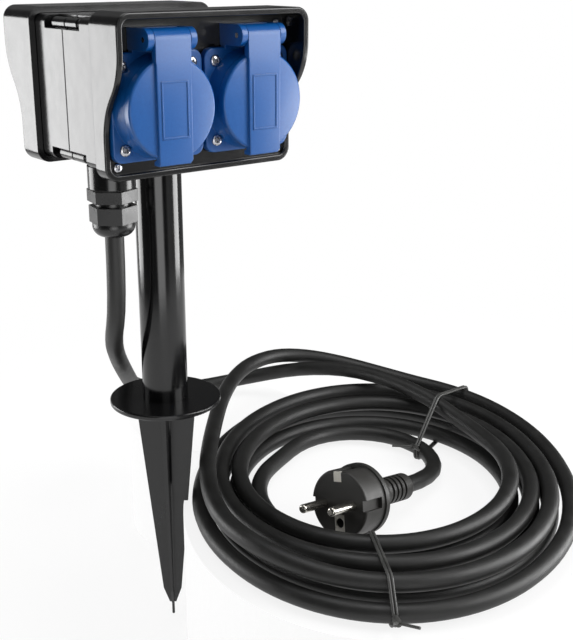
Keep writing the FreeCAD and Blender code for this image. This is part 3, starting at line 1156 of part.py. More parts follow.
def plug_body():
    front = rod(PLUG_RADIUS, (0, 0, -PLUG_DEPTH), Z, PLUG_DEPTH)
    front = front.common(block(-30, 30, -PLUG_FLATS, PLUG_FLATS, -PLUG_DEPTH, 0))
    edge = [part for part in front.Edges if part.CenterOfMass.z > -0.01]
    front = front.makeFillet(1.2, edge)
    rim = rod(PLUG_RIM, (0, 0, -PLUG_DEPTH - PLUG_RIM_LONG), Z, PLUG_RIM_LONG)
    cone_end = -PLUG_DEPTH - PLUG_RIM_LONG - PLUG_CONE
    cone = Part.makeCone(PLUG_CONE_END, PLUG_RIM - 0.8, PLUG_CONE, V(0, 0, cone_end), Z)
    body = fuse(front, rim, cone)
    grooves = [block(*sorted((side * 30, side * (PLUG_RADIUS - PLUG_GROOVE_DEEP))), -PLUG_GROOVE / 2,
                     PLUG_GROOVE / 2, -PLUG_DEPTH + 3.0, 1) for side in (-1, 1)]
    clip_room = block(-EARTH_CLIP_WIDTH / 2, EARTH_CLIP_WIDTH / 2, PLUG_FLATS - EARTH_CLIP_LOW, 30, -PLUG_DEPTH, 1)
    plate_room = block(-EARTH_PLATE_WIDTH / 2, EARTH_PLATE_WIDTH / 2, -30, -EARTH_PLATE_TOP, -EARTH_CLIP_THICK, 1)
    side_room = block(-EARTH_PLATE_WIDTH / 2, EARTH_PLATE_WIDTH / 2, -30, -PLUG_FLATS + EARTH_CLIP_THICK,
                      -PLUG_DEPTH, 1)
    pins = [rod(PIN_ROOT_RADIUS, (side * CONTACT_SPACING / 2, 0, -PIN_ROOT), Z, PIN_ROOT + 1) for side in (-1, 1)]
    earth = rod(EARTH_HOLE, (0, -EARTH_HOLE_DOWN, -PLUG_DEPTH + 1), Z, PLUG_DEPTH)
    core = rod(CORD_RADIUS, (0, 0, cone_end - 1), Z, PIN_ROOT / 2 + 1)
    return cut(body, *grooves, clip_room, plate_room, side_room, *pins, earth, core)


def plug_pin(side):
    x = side * CONTACT_SPACING / 2
    pin = rod(PLUG_PIN, (x, 0, 0), Z, PLUG_PIN_LONG)
    tip = [edge for edge in pin.Edges if edge.CenterOfMass.z > PLUG_PIN_LONG - 0.01]
    return fuse(pin.makeFillet(1.3, tip), rod(PIN_ROOT_RADIUS, (x, 0, -PIN_ROOT), Z, PIN_ROOT))


def earth_parts():
    """Clip on top and plate with the female earth contact below."""
    clip = block(-EARTH_CLIP_WIDTH / 2, EARTH_CLIP_WIDTH / 2, PLUG_FLATS - EARTH_CLIP_LOW, PLUG_FLATS,
                 -EARTH_CLIP_THICK, 0)
    strip = block(-EARTH_CLIP_WIDTH / 2, EARTH_CLIP_WIDTH / 2, PLUG_FLATS - EARTH_CLIP_LOW,
                  PLUG_FLATS - EARTH_CLIP_LOW + EARTH_CLIP_THICK, -PLUG_DEPTH, 0)
    plate = block(-EARTH_PLATE_WIDTH / 2, EARTH_PLATE_WIDTH / 2, -PLUG_FLATS, -EARTH_PLATE_TOP,
                  -EARTH_CLIP_THICK, 0)
    low = block(-EARTH_PLATE_WIDTH / 2, EARTH_PLATE_WIDTH / 2, -PLUG_FLATS, -PLUG_FLATS + EARTH_CLIP_THICK,
                -PLUG_DEPTH, 0)
    plate = cut(plate, rod(EARTH_HOLE, (0, -EARTH_HOLE_DOWN, -5), Z, 10))
    return [fuse(clip, strip), fuse(plate, low)]


def strain_relief():
    start = -PLUG_LONG
    body = rod(RELIEF_RADIUS, (0, 0, start), Z, RELIEF_LONG)
    end = [edge for edge in body.Edges if edge.CenterOfMass.z < start + 0.01]
    body = body.makeFillet(1.5, end)
    pitch = (RELIEF_LONG - RELIEF_COLLAR) / (RELIEF_GROOVES + 1)
    rings = []
    for i in range(RELIEF_GROOVES):
        z = start + RELIEF_COLLAR + pitch * (i + 0.5)
        rings.append(pipe(RELIEF_RADIUS + 1, RELIEF_RADIUS - RELIEF_GROOVE_DEEP, (0, 0, z), Z, pitch * 0.45))
    return cut(body, *rings, rod(CORD_RADIUS, (0, 0, start - 1), Z, RELIEF_LONG + 2))


save("plug_body", laid(plug_body()))
save("plug_pins", *[laid(plug_pin(side)) for side in (-1, 1)])
save("plug_earth", *[laid(piece) for piece in earth_parts()])
save("plug_relief", laid(strain_relief()))
save("plug_cord_end", laid(rod(CORD_RADIUS, (0, 0, -PLUG_LONG), Z, RELIEF_LONG + PIN_ROOT / 2)))


# Ties
def strands_at(direction, wires, centre):
    """Outline points (reach, height) of the strands that cross the upright plane at a direction."""
    way = heading(direction)
    side = Z.cross(way)
    middle = placed(*centre, 0)
    found = []
    for wire in wires:
        points = wire.discretize(int(wire.Length / 2))
        for before, after in zip(points, points[1:]):
            first, second = (before - middle).dot(side), (after - middle).dot(side)
            if first * second > 0 or (before - middle).dot(way) < 0:
                continue
            crossing = before + (after - before) * (first / (first - second))
            lean = abs((after - before).normalize().dot(side))
            shifted = TIE_PAIR * math.sqrt(1 - lean ** 2) / lean
            wider = CORD_RADIUS / lean - CORD_RADIUS + shifted
            reach = (crossing - middle).dot(way)
            height = max(crossing.z, LOWER_LAYER)
            if height > LOWER_LAYER + CORD_RADIUS:
                height += shifted / 2
            found += [(reach - wider, height), (reach + wider, height)]
    return sorted(found)


def hull(points):
    """Convex outline of the points, clockwise from the leftmost."""
    def chain(ordered):
        kept = []
        for point in ordered:
            while len(kept) > 1 and ((kept[-1][0] - kept[-2][0]) * (point[1] - kept[-2][1])
                                     >= (kept[-1][1] - kept[-2][1]) * (point[0] - kept[-2][0])):
                kept.pop()
            kept.append(point)
        return kept
    upper, lower = chain(points), chain(points[::-1])
    return upper + lower[1:-1]


def tie(direction, wires, twist_angle, prongs, centre=COIL_MID):
    """Doubled wire round the strands at a direction, twisted where the twist angle points."""
    outward_way = heading(direction)
    across_plane = Z.cross(outward_way)
    middle = placed(*centre, 0)
    reach = CORD_RADIUS + TIE_WIRE + TIE_CLEAR
    strands = hull(strands_at(direction, wires, centre))
    if math.cos(math.radians(twist_angle)) > 0:
        first = strands.index(max(strands))
        strands = strands[first:] + strands[:first]

    def point(x, z, shift):
        return middle + outward_way * x + Z * z + across_plane * shift

    def on_circle(strand, degrees, shift):
        turn = math.radians(degrees)
        return point(strand[0] + reach * math.cos(turn), strand[1] + reach * math.sin(turn), shift)

    def arc(strand, enter, leave, shift):
        return Part.Arc(on_circle(strand, enter, shift), on_circle(strand, (enter + leave) / 2, shift),
                        on_circle(strand, leave, shift)).toShape()

    normals = [math.degrees(math.atan2(there[1] - here[1], there[0] - here[0])) + 90
               for here, there in zip(strands, strands[1:] + strands[:1])]
    pieces = []
    for shift in (-TIE_PAIR, TIE_PAIR):
        edges = []
        for i, strand in enumerate(strands):
            enter = twist_angle - TIE_GAP / 2 if i == 0 else normals[i - 1]
            leave = enter - (enter - normals[i]) % 360
            following = strands[(i + 1) % len(strands)]
            edges.append(arc(strand, enter, leave, shift))
            edges.append(Part.makeLine(on_circle(strand, leave, shift), on_circle(following, normals[i], shift)))
        enter = normals[-1]
        edges.append(arc(strands[0], enter, enter - (enter - twist_angle - TIE_GAP / 2) % 360, shift))
        pieces.append(tube(Part.Wire(edges), TIE_WIRE))
    turn = math.radians(twist_angle)
    way = (outward_way * math.cos(turn) + Z * math.sin(turn)).normalize()
    root = point(*strands[0], 0) + way * (reach + TIE_WIRE / 8)
    pieces.append(Part.makeCylinder(TIE_TWIST, TIE_TWIST_LONG, root, way))
    end = root + way * (TIE_TWIST_LONG - 1.0)
    for sideways, rise, long in prongs:
        prong = (way + across_plane * sideways + Z * rise).normalize()
        pieces.append(Part.makeCylinder(TIE_WIRE, long, end, prong))
    return fuse(*pieces)


save("upper_tie", tie(UPPER_TIE, [coil, drop, tail], 150.0, [(1.6, -0.45, 13.0), (-1.0, -0.35, 8.0)]))
save("lower_tie", tie(LOWER_TIE, [coil], 10.0, [(0.9, 0.1, 12.0), (-0.7, 0.5, 9.0)], LOWER_TIE_MID))
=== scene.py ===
# %% [markdown]
# # A garden socket on a spike
# A small black box stands on a round column, and the column ends in a spike for the lawn. Two blue
# sockets with hinged lids face the front, and a timer under a clear cover faces the back. The supply
# cable leaves through a gland below the box and lies in a loose coil that ends in its plug.
# The solid parts come from the CAD model, which is loaded first and never moved.

# %% Load the model
import math
import bmesh
import bpy
from mathutils import Matrix, Vector


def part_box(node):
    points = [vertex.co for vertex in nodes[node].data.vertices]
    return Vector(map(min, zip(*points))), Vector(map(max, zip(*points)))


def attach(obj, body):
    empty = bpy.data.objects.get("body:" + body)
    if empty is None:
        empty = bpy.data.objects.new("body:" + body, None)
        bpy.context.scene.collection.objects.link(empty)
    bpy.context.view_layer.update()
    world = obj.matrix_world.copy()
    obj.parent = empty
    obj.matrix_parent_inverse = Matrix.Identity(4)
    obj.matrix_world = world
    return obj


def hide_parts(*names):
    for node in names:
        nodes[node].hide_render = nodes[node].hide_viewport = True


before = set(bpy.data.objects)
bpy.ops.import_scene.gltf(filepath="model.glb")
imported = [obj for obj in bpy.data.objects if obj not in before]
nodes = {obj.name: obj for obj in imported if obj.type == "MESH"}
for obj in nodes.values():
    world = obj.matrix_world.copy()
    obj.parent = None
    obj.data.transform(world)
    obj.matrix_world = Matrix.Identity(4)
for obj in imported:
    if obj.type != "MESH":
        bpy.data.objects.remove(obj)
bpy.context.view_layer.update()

# %% [markdown]
# ## The camera
# The photograph looks down at the box from the left. Its lens and place were worked out from corners
# whose real distances are known. The long side of the picture counts as 36 mm of film.

# %% Camera
CAMERA_PLACE = (-0.2973, -0.4849, 0.2954)
CAMERA_TURN = 38.34     # degrees from +Y towards +X
CAMERA_DOWN = 18.26     # degrees below the horizon
LENS = 61.2             # mm

camera = bpy.data.objects.new("camera", bpy.data.cameras.new("camera"))
bpy.context.scene.collection.objects.link(camera)
bpy.context.scene.camera = camera
camera.location = CAMERA_PLACE
camera.rotation_euler = (math.radians(90 - CAMERA_DOWN), 0, math.radians(-CAMERA_TURN))
camera.data.lens = LENS
camera.data.sensor_width = 36
camera.data.clip_start = 0.01
camera.data.clip_end = 20
bpy.context.scene.view_settings.view_transform = "Standard"

# %% [markdown]
# ## Nodes in one line
# Every finish here is a small graph of shader nodes. One helper adds a node, fills its sockets and
# makes its links, so each finish reads as a list of what it is made of. Colours are written as the
# hex values that a picture editor shows, and one function turns them into linear light.


# %% Helpers for materials
def linear(code):
    """Linear RGBA from an sRGB hex code."""
    channels = [int(code[i:i + 2], 16) / 255 for i in (0, 2, 4)]
    return [c / 12.92 if c <= 0.04045 else ((c + 0.055) / 1.055) ** 2.4 for c in channels] + [1.0]


def add(tree, kind, inputs=None, stops=None, **settings):
    """Adds a node. inputs maps a socket's name or number to a value or to another node's output."""
    node = tree.nodes.new(kind)
    for name, value in settings.items():
        setattr(node, name, value)
    for name, value in (inputs or {}).items():
        if isinstance(value, bpy.types.NodeSocket):
            tree.links.new(value, node.inputs[name])
        else:
            node.inputs[name].default_value = value
    if stops:
        ramp = node.color_ramp
        ramp.elements[0].position, ramp.elements[0].color = stops[0]
        ramp.elements[1].position, ramp.elements[1].color = stops[-1]
        for place, colour in stops[1:-1]:
            ramp.elements.new(place).color = colour
    return node


def new_material(name):
    """An empty material: its tree, its output node and the object coordinates in metres."""
    material = bpy.data.materials.new(name)
    material.use_nodes = True
    tree = material.node_tree
    tree.nodes.clear()
    output = add(tree, "ShaderNodeOutputMaterial")
    place = add(tree, "ShaderNodeTexCoord").outputs["Object"]
    return material, tree, output, place


def grey(level):
    return (level, level, level, 1.0)


MM = 0.001

# %% [markdown]
# ## Moulded black ABS
# The box halves, their visors and the spike are injection-moulded ABS. The steel mould was polished, so
# the skin is glossy, but it shrank a little as it cooled, and highlights wander over waves 15 to 30 mm
# long. A fine orange peel under 1 mm breaks the sharpest reflections. A Bevel node rounds the normals of
# the sharp CAD edges by a few tenths of a millimetre, which gives each edge its thin bright line.


# %% Black ABS
def black_abs(name, colour, rough_low, rough_high, wave_depth, peel_depth, edge):
    """Moulded black plastic; depths and the edge radius are in metres."""
    material, tree, output, place = new_material(name)
    waves = add(tree, "ShaderNodeTexNoise", {"Vector": place, "Scale": 1 / (22 * MM), "Detail": 2.0})
    peel = add(tree, "ShaderNodeTexNoise", {"Vector": place, "Scale": 1 / (0.8 * MM), "Detail": 2.0})
    smudges = add(tree, "ShaderNodeTexNoise", {"Vector": place, "Scale": 1 / (9 * MM), "Detail": 5.0,
                                               "Roughness": 0.6})
    roughness = add(tree, "ShaderNodeMapRange", {"Value": smudges.outputs["Fac"], "From Min": 0.3,
                                                 "From Max": 0.7, "To Min": rough_low,
                                                 "To Max": rough_high})
    edges = add(tree, "ShaderNodeBevel", {"Radius": edge}, samples=4)
    wavy = add(tree, "ShaderNodeBump", {"Height": waves.outputs["Fac"], "Distance": wave_depth,
                                        "Normal": edges.outputs["Normal"]})
    peeled = add(tree, "ShaderNodeBump", {"Height": peel.outputs["Fac"], "Distance": peel_depth,
                                          "Normal": wavy.outputs["Normal"]})
    surface = add(tree, "ShaderNodeBsdfPrincipled", {"Base Color": linear(colour), "IOR": 1.54,
                                                     "Roughness": roughness.outputs["Result"],
                                                     "Normal": peeled.outputs["Normal"]})
    tree.links.new(surface.outputs["BSDF"], output.inputs["Surface"])
    return material


box_abs = black_abs("polished_black_abs", "0c0c0d", 0.17, 0.22, 0.35 * MM, 0.002 * MM, 0.35 * MM)
column_abs = black_abs("extruded_black_abs", "0a0a0b", 0.11, 0.15, 0.08 * MM, 0.004 * MM, 0.3 * MM)
spike_abs = black_abs("ribbed_black_abs", "0d0d0e", 0.20, 0.28, 0.12 * MM, 0.008 * MM, 0.4 * MM)
plug_rubber = black_abs("moulded_black_rubber", "262523", 0.44, 0.58, 0.10 * MM, 0.025 * MM, 0.3 * MM)
gland_nylon = black_abs("moulded_black_nylon", "0d0d0e", 0.24, 0.34, 0.08 * MM, 0.012 * MM, 0.35 * MM)
timer_abs = black_abs("fine_grained_grey_abs", "4d4e52", 0.45, 0.60, 0.05 * MM, 0.030 * MM, 0.2 * MM)
ring_abs = black_abs("fine_grained_dark_abs", "1c1c1e", 0.38, 0.52, 0.05 * MM, 0.015 * MM, 0.15 * MM)
dial_abs = black_abs("satin_light_grey_abs", "b4b5b7", 0.40, 0.52, 0.03 * MM, 0.008 * MM, 0.15 * MM)
dial_ink = black_abs("printed_ink", "1c1c1f", 0.50, 0.60, 0.0, 0.004 * MM, 0.02 * MM)

# %% [markdown]
# ## Blue polyamide
# The sockets and their lids are glass-filled polyamide, dyed through. It comes out of the mould satin
# rather than glossy, with a faint mottle where the fibres lie near the skin. The real lids are slightly
# domed, so the lids' finish bends their flat faces by about a millimetre over 40 mm, which draws a pale
# sheen towards their right edges.

# %% Blue polyamide
LID_MID = (0.0257, 0.0, 0.2312)     # middle of the right lid; the left one mirrors it
LID_CROWN = 0.20                    # radius of the crown, m


def blue_polyamide(name, crowned):
    """Satin blue; crowned is for the lids."""
    material, tree, output, place = new_material(name)
    mottle = add(tree, "ShaderNodeTexNoise", {"Vector": place, "Scale": 1 / (1.2 * MM), "Detail": 4.0,
                                              "Roughness": 0.6})
    colour = add(tree, "ShaderNodeValToRGB", {"Fac": mottle.outputs["Fac"]},
                 stops=[(0.3, linear("064889")), (0.7, linear("094f92"))])
    grain = add(tree, "ShaderNodeTexNoise", {"Vector": place, "Scale": 1 / (0.5 * MM), "Detail": 2.0})
    waves = add(tree, "ShaderNodeTexNoise", {"Vector": place, "Scale": 1 / (14 * MM), "Detail": 1.0})
    roughness = add(tree, "ShaderNodeMapRange", {"Value": mottle.outputs["Fac"], "From Min": 0.3,
                                                 "From Max": 0.7, "To Min": 0.30, "To Max": 0.33})
    normal = add(tree, "ShaderNodeBevel", {"Radius": 0.45 * MM}, samples=4).outputs["Normal"]
    if crowned:
        split = add(tree, "ShaderNodeSeparateXYZ", {"Vector": place})
        beside = add(tree, "ShaderNodeMath", {0: split.outputs["X"]}, operation="ABSOLUTE")
        flat_place = add(tree, "ShaderNodeCombineXYZ", {"X": beside.outputs[0], "Z": split.outputs["Z"]})
        from_mid = add(tree, "ShaderNodeVectorMath", {0: flat_place.outputs[0], 1: LID_MID},
                       operation="DISTANCE")
        dome = add(tree, "ShaderNodeMath", {0: from_mid.outputs["Value"], 1: 2.0}, operation="POWER")
        fall = add(tree, "ShaderNodeMath", {0: dome.outputs[0], 1: -1 / (2 * LID_CROWN)},
                   operation="MULTIPLY")
        normal = add(tree, "ShaderNodeBump", {"Height": fall.outputs[0], "Distance": 1.0,
                                              "Normal": normal}).outputs["Normal"]
    wavy = add(tree, "ShaderNodeBump", {"Height": waves.outputs["Fac"], "Distance": 0.10 * MM,
                                        "Normal": normal})
    grained = add(tree, "ShaderNodeBump", {"Height": grain.outputs["Fac"], "Distance": 0.005 * MM,
                                           "Normal": wavy.outputs["Normal"]})
    surface = add(tree, "ShaderNodeBsdfPrincipled", {"Base Color": colour.outputs["Color"], "IOR": 1.53,
                                                     "Roughness": roughness.outputs["Result"],
                                                     "Normal": grained.outputs["Normal"]})
    tree.links.new(surface.outputs["BSDF"], output.inputs["Surface"])
    return material


socket_polyamide = blue_polyamide("moulded_blue_polyamide", False)
lid_polyamide = blue_polyamide("crowned_blue_polyamide", True)

# %% [markdown]
# ## Clear polycarbonate
# The timer's cover is clear polycarbonate with a trace of blue in its thickness. The inner face is
# spark-eroded in the mould, so it is grainy and hides scratches: the dial behind it looks a little soft.


# %% Clear polycarbonate
def clear_polycarbonate():
    material, tree, output, place = new_material("grained_clear_polycarbonate")
    grain = add(tree, "ShaderNodeTexNoise", {"Vector": place, "Scale": 1 / (0.45 * MM), "Detail": 3.0})
    bump = add(tree, "ShaderNodeBump", {"Height": grain.outputs["Fac"], "Distance": 0.02 * MM})
    surface = add(tree, "ShaderNodeBsdfPrincipled", {"Base Color": linear("ebeef9"), "IOR": 1.3,
                                                     "Roughness": 0.12, "Transmission Weight": 1.0,
                                                     "Normal": bump.outputs["Normal"]})
    through = add(tree, "ShaderNodeBsdfTransparent", {"Color": linear("eceef8")})
    mixed = add(tree, "ShaderNodeMixShader", {"Fac": 0.45, 1: surface.outputs["BSDF"],
                                              2: through.outputs["BSDF"]})
    tree.links.new(mixed.outputs["Shader"], output.inputs["Surface"])
    return material


cover_polycarbonate = clear_polycarbonate()

# %% [markdown]
# ## Metals
# Screws and hinge pins are zinc-plated steel. The contacts, the earth straps and the plug's pins are
# nickel-plated brass. Plating is bright but never a mirror: small pits and wiping marks spread the
# highlight. The plug's earth clip is stamped from plated sheet, which is paler and rougher.


# %% Plated metals
def plated(name, colour, rough_low, rough_high):
    material, tree, output, place = new_material(name)
    marks = add(tree, "ShaderNodeTexNoise", {"Vector": place, "Scale": 1 / (0.7 * MM), "Detail": 4.0})
    roughness = add(tree, "ShaderNodeMapRange", {"Value": marks.outputs["Fac"], "From Min": 0.3,
                                                 "From Max": 0.7, "To Min": rough_low,
                                                 "To Max": rough_high})
    edges = add(tree, "ShaderNodeBevel", {"Radius": 0.15 * MM}, samples=4)
    pitted = add(tree, "ShaderNodeBump", {"Height": marks.outputs["Fac"], "Distance": 0.01 * MM,
                                          "Normal": edges.outputs["Normal"]})
    surface = add(tree, "ShaderNodeBsdfPrincipled", {"Base Color": linear(colour), "Metallic": 1.0,
                                                     "Roughness": roughness.outputs["Result"],
                                                     "Normal": pitted.outputs["Normal"]})
    tree.links.new(surface.outputs["BSDF"], output.inputs["Surface"])
    return material


zinc_steel = plated("zinc_plated_steel", "b9b9bd", 0.14, 0.26)
nickel_brass = plated("nickel_plated_brass", "cfccc4", 0.16, 0.28)
earth_plate = plated("stamped_plated_brass", "e6e3da", 0.42, 0.55)
spring_steel = plated("spring_steel", "b3b3b8", 0.25, 0.40)

# %% [markdown]
# ## Rubber
# The cable is heavy rubber flex. Its extruded sheath has a fine grain and picks up dust, which makes it
# a touch greyer than the box. The gaskets are softer and duller. The same graph, with other colours,
# gives the coated tie wires, the cores' insulation and the nylon terminals.


# %% Rubber
def rubber(name, dark, pale, rough_low, rough_high, grain_size, grain_depth):
    material, tree, output, place = new_material(name)
    dust = add(tree, "ShaderNodeTexNoise", {"Vector": place, "Scale": 1 / (12 * MM), "Detail": 6.0,
                                            "Roughness": 0.6})
    colour = add(tree, "ShaderNodeValToRGB", {"Fac": dust.outputs["Fac"]},
                 stops=[(0.35, linear(dark)), (0.7, linear(pale))])
    roughness = add(tree, "ShaderNodeMapRange", {"Value": dust.outputs["Fac"], "From Min": 0.3,
                                                 "From Max": 0.7, "To Min": rough_low,
                                                 "To Max": rough_high})
    grain = add(tree, "ShaderNodeTexNoise", {"Vector": place, "Scale": 1 / grain_size, "Detail": 3.0})
    bump = add(tree, "ShaderNodeBump", {"Height": grain.outputs["Fac"], "Distance": grain_depth})
    surface = add(tree, "ShaderNodeBsdfPrincipled", {"Base Color": colour.outputs["Color"], "IOR": 1.52,
                                                     "Roughness": roughness.outputs["Result"],
                                                     "Normal": bump.outputs["Normal"]})
    tree.links.new(surface.outputs["BSDF"], output.inputs["Surface"])
    return material


cable_rubber = rubber("extruded_black_rubber", "111110", "171716", 0.44, 0.56, 0.7 * MM, 0.02 * MM)
gasket_rubber = rubber("soft_black_rubber", "0c0c0c", "131313", 0.65, 0.80, 0.5 * MM, 0.02 * MM)
tie_plastic = rubber("coated_tie_wire", "333332", "434341", 0.38, 0.50, 0.6 * MM, 0.01 * MM)
wire_plastic = rubber("wire_insulation", "6b4a2a", "7a5632", 0.40, 0.50, 0.6 * MM, 0.01 * MM)
terminal_nylon = rubber("natural_nylon", "cfccbf", "dad7cb", 0.45, 0.55, 0.6 * MM, 0.01 * MM)

# %% [markdown]
# ## A finish for each CAD piece
# The CAD pieces keep their shapes and get a finish by name.

# %% Finishes on the CAD pieces
FINISHES = {
    box_abs: ["front_visor", "rear_visor", "front_shell", "rear_shell"],
    column_abs: ["column_tube"],
    spike_abs: ["ground_spike"],
    gland_nylon: ["gland_body", "gland_nut", "gland_claw", "shell_screws"],
    socket_polyamide: ["left_socket", "right_socket"],
    lid_polyamide: ["left_lid", "right_lid"],
    timer_abs: ["timer_housing", "timer_movement"],
    ring_abs: ["timer_dial", "timer_tappets", "timer_tappet_set"],
    dial_abs: ["timer_hub"],
    cover_polycarbonate: ["timer_cover"],
    zinc_steel: ["front_corner_screws", "rear_corner_screws", "left_flange_screws",
                 "right_flange_screws", "left_hinge_pin", "right_hinge_pin", "cover_pin",
                 "timer_spindle"],
    spring_steel: ["left_lid_spring", "right_lid_spring", "cover_spring"],
    nickel_brass: ["left_earth_strap", "right_earth_strap", "left_contacts", "right_contacts",
                   "plug_pins"],
    earth_plate: ["plug_earth"],
    gasket_rubber: ["front_face_gasket", "rear_face_gasket", "shell_gasket", "left_flange_gasket",
                    "right_flange_gasket", "left_lid_seal", "right_lid_seal", "timer_gasket",
                    "gland_ring", "gland_seal"],
    plug_rubber: ["plug_body", "plug_relief"],
    cable_rubber: ["cord_sheath_end", "plug_cord_end"],
    tie_plastic: ["upper_tie", "lower_tie"],
    wire_plastic: ["inner_wires"],
    terminal_nylon: ["terminal_block"],
}
for finish, names in FINISHES.items():
    for name in names:
        piece = nodes[name]
        piece.data.materials.clear()
        piece.data.materials.append(finish)
left_over = sorted(set(nodes) - {name for names in FINISHES.values() for name in names})
print("CAD pieces with no finish yet:", left_over)

# %% [markdown]
# ## The cable
# Heavy rubber flex is stiff: it comes straight down out of the gland, sweeps behind the spike, climbs
# over the coil and becomes its innermost upper turn. The turns wind outwards on top, drop to the ground
# at the outside and wind inwards again, and the inner end bends back to the plug. It is one curve. A
# quadratic NURBS curve touches the middle of each run between its points, as a bent cable would.

# %% Coil
CORD = 9.6 * MM
COIL_TURN = math.radians(38.34)     # direction of the far side, from +Y towards +X
COIL_MID = (3.0, 121.0)     # away and across, mm
COIL_START = -65.0      # degrees, at the end of the tail
COIL_TURNS = 6.625
COIL_REVERSE = 3.5      # the lower layer's turns
COIL_OPENS = 0.86       # below 1 the inner turns lie further apart than the outer ones
# Radius of the innermost and the outermost turn on each side, mm
REACH = {"far": (68.0, 150.0), "right": (67.0, 105.0), "near": (70.0, 133.0), "left": (68.0, 107.0)}
# Rows of turn, then the shift away, across and up there: the climb swings out a little to clear the
# turn above it, and one turn stands off loosely at the far left.
LOOSE_TURN = [(3.42, 0, 0, 0), (3.62, 0, 2.6, 0), (3.75, 0, 0, 0), (3.91, 27, -14, 15), (4.06, 0, 4, 13),
              (4.18, -5, -2, 7), (4.3, 0, 0, 0)]
CLIMB = 0.5             # of a turn, from the lower to the upper layer
LOWER_LAYER = 6.6       # height of the cable's middle, mm
LAYER_RISE = 10.6
EXIT_RISE = 5.0         # where the coil meets the drop
EXIT_TURN = 0.4
POINTS_PER_TURN = 30


def placed(away, across, height):
    """Point on the ground plan: away from the camera, across to the right, and up, in mm."""
    return Vector((away * math.sin(COIL_TURN) + across * math.cos(COIL_TURN),
                   away * math.cos(COIL_TURN) - across * math.sin(COIL_TURN), height)) * MM


def eased(share):
    """0 to 1 with soft ends."""
    share = min(1, max(0, share))
    return share ** 2 * (3 - 2 * share)


def loosened(turn):
    """The loose turn's shift in mm."""
    for before, after in zip(LOOSE_TURN, LOOSE_TURN[1:]):
        if before[0] <= turn <= after[0]:
            share = eased((turn - before[0]) / (after[0] - before[0]))
            return [a + (b - a) * share for a, b in zip(before[1:], after[1:])]
    return [0.0, 0.0, 0.0]


def coil_point(turn):
    """Point of the curve that many turns from the coil's inner end."""
    angle = math.radians(COIL_START - 360 * turn)
    layer_turn = turn if turn <= COIL_REVERSE else 2 * COIL_REVERSE - turn
    share = (max(0, layer_turn) / COIL_REVERSE) ** COIL_OPENS
    along = REACH["far"] if math.cos(angle) > 0 else REACH["near"]
    side = REACH["right"] if math.sin(angle) > 0 else REACH["left"]
    spread = 1 / math.cos(math.pi / POINTS_PER_TURN / 1.5)      # the curve runs inside its points
    away = COIL_MID[0] + math.cos(angle) * (along[0] + (along[1] - along[0]) * share) * spread
    across = COIL_MID[1] + math.sin(angle) * (side[0] + (side[1] - side[0]) * share) * spread
    height = LOWER_LAYER + LAYER_RISE * eased((turn - COIL_REVERSE) / CLIMB + 0.5)
    height += EXIT_RISE * eased((turn - COIL_TURNS) / EXIT_TURN + 1)
    shift = loosened(turn)
    return placed(away + shift[0], across + shift[1], height + shift[2])


steps = round(COIL_TURNS * POINTS_PER_TURN)
coil_points = [coil_point(COIL_TURNS * (1 - i / steps)) for i in range(steps + 1)]

# %% [markdown]
# The stretch between the gland and the coil, and the one between the coil and the plug, have only a few
# points each, one for each bend that the photograph shows.

# %% The rest of the route
GLAND_EXIT = (-0.0362, -0.0162, 0.1654)
DROP = [GLAND_EXIT, (-0.0362, -0.016, 0.128), (-0.0316, -0.0005, 0.104), (-0.0162, 0.023, 0.084),
        (0.0024, 0.0466, 0.062), (0.0265, 0.081, 0.038), (0.0866, 0.1217, 0.0075),
        (0.1317, 0.1085, 0.0098), (0.1545, 0.0704, 0.0242), (0.172, 0.0272, 0.0312),
        (0.1782, -0.0262, 0.0292), (0.1773, -0.0612, 0.0222)]
TAIL = [(0.1041, 0.005, 0.0066), (0.1349, -0.0031, 0.0066), (0.1538, -0.0288, 0.0066),
        (0.1524, -0.0607, 0.0066), (0.1313, -0.0846, 0.0067), (0.0995, -0.09, 0.0129)]
route = [Vector(p) for p in DROP] + coil_points + [Vector(p) for p in TAIL]

curve = bpy.data.curves.new("supply_cable", "CURVE")
curve.dimensions = "3D"
curve.bevel_depth = CORD / 2
curve.bevel_resolution = 6
curve.resolution_u = 4
spline = curve.splines.new("NURBS")
spline.points.add(len(route) - 1)
for point, place in zip(spline.points, route):
    point.co = (*place, 1)
spline.order_u = 3
spline.use_endpoint_u = True
curve.materials.append(cable_rubber)
cable = bpy.data.objects.new("supply_cable", curve)
bpy.context.scene.collection.objects.link(cable)
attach(cable, "housing")
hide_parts("cord_drop", "cord_coil", "cord_tail")
print("cable points:", len(route))

# %% [markdown]
# ## Screws
# The CAD screws have plain domed heads. Real ones have a cross recess, and no two stop at the same turn.
# One screw is turned from its outline, the recess is cut once, and copies go where the CAD screws are.


# %% Cross-recess screws
# Radius and height of the head, radius and length of the shank, in mm
FLANGE_SCREW = {"head": 2.8, "high": 1.3, "shank": 1.4, "length": 9.0}
CORNER_SCREW = {"head": 2.4, "high": 1.4, "shank": 1.3, "length": 14.0}
SCREW_SETS = {"left_flange_screws": FLANGE_SCREW, "right_flange_screws": FLANGE_SCREW,
              "front_corner_screws": CORNER_SCREW, "rear_corner_screws": CORNER_SCREW}
RECESS_ARM, RECESS_HALF = 0.52, 0.15    # of the head's radius
RECESS_DEPTH = 0.95     # mm
SHARP_TURN = 40         # degrees
TURN_ON, SET_TURN = 0.7, 0.4    # radians from screw to screw and from set to set


def marked_sharp(shape, limit):
    """Smooth shading, apart from edges that turn by more than the limit in degrees."""
    for face in shape.faces:
        face.smooth = True
    for edge in shape.edges:
        if len(edge.link_faces) == 2 and edge.calc_face_angle(0) > math.radians(limit):
            edge.smooth = False


def finished(name, shape, *materials):
    """A mesh object from a bmesh, with its materials."""
    mesh = bpy.data.meshes.new(name)
    shape.to_mesh(mesh)
    shape.free()
    for material in materials:
        mesh.materials.append(material)
    piece = bpy.data.objects.new(name, mesh)
    bpy.context.scene.collection.objects.link(piece)
    return piece


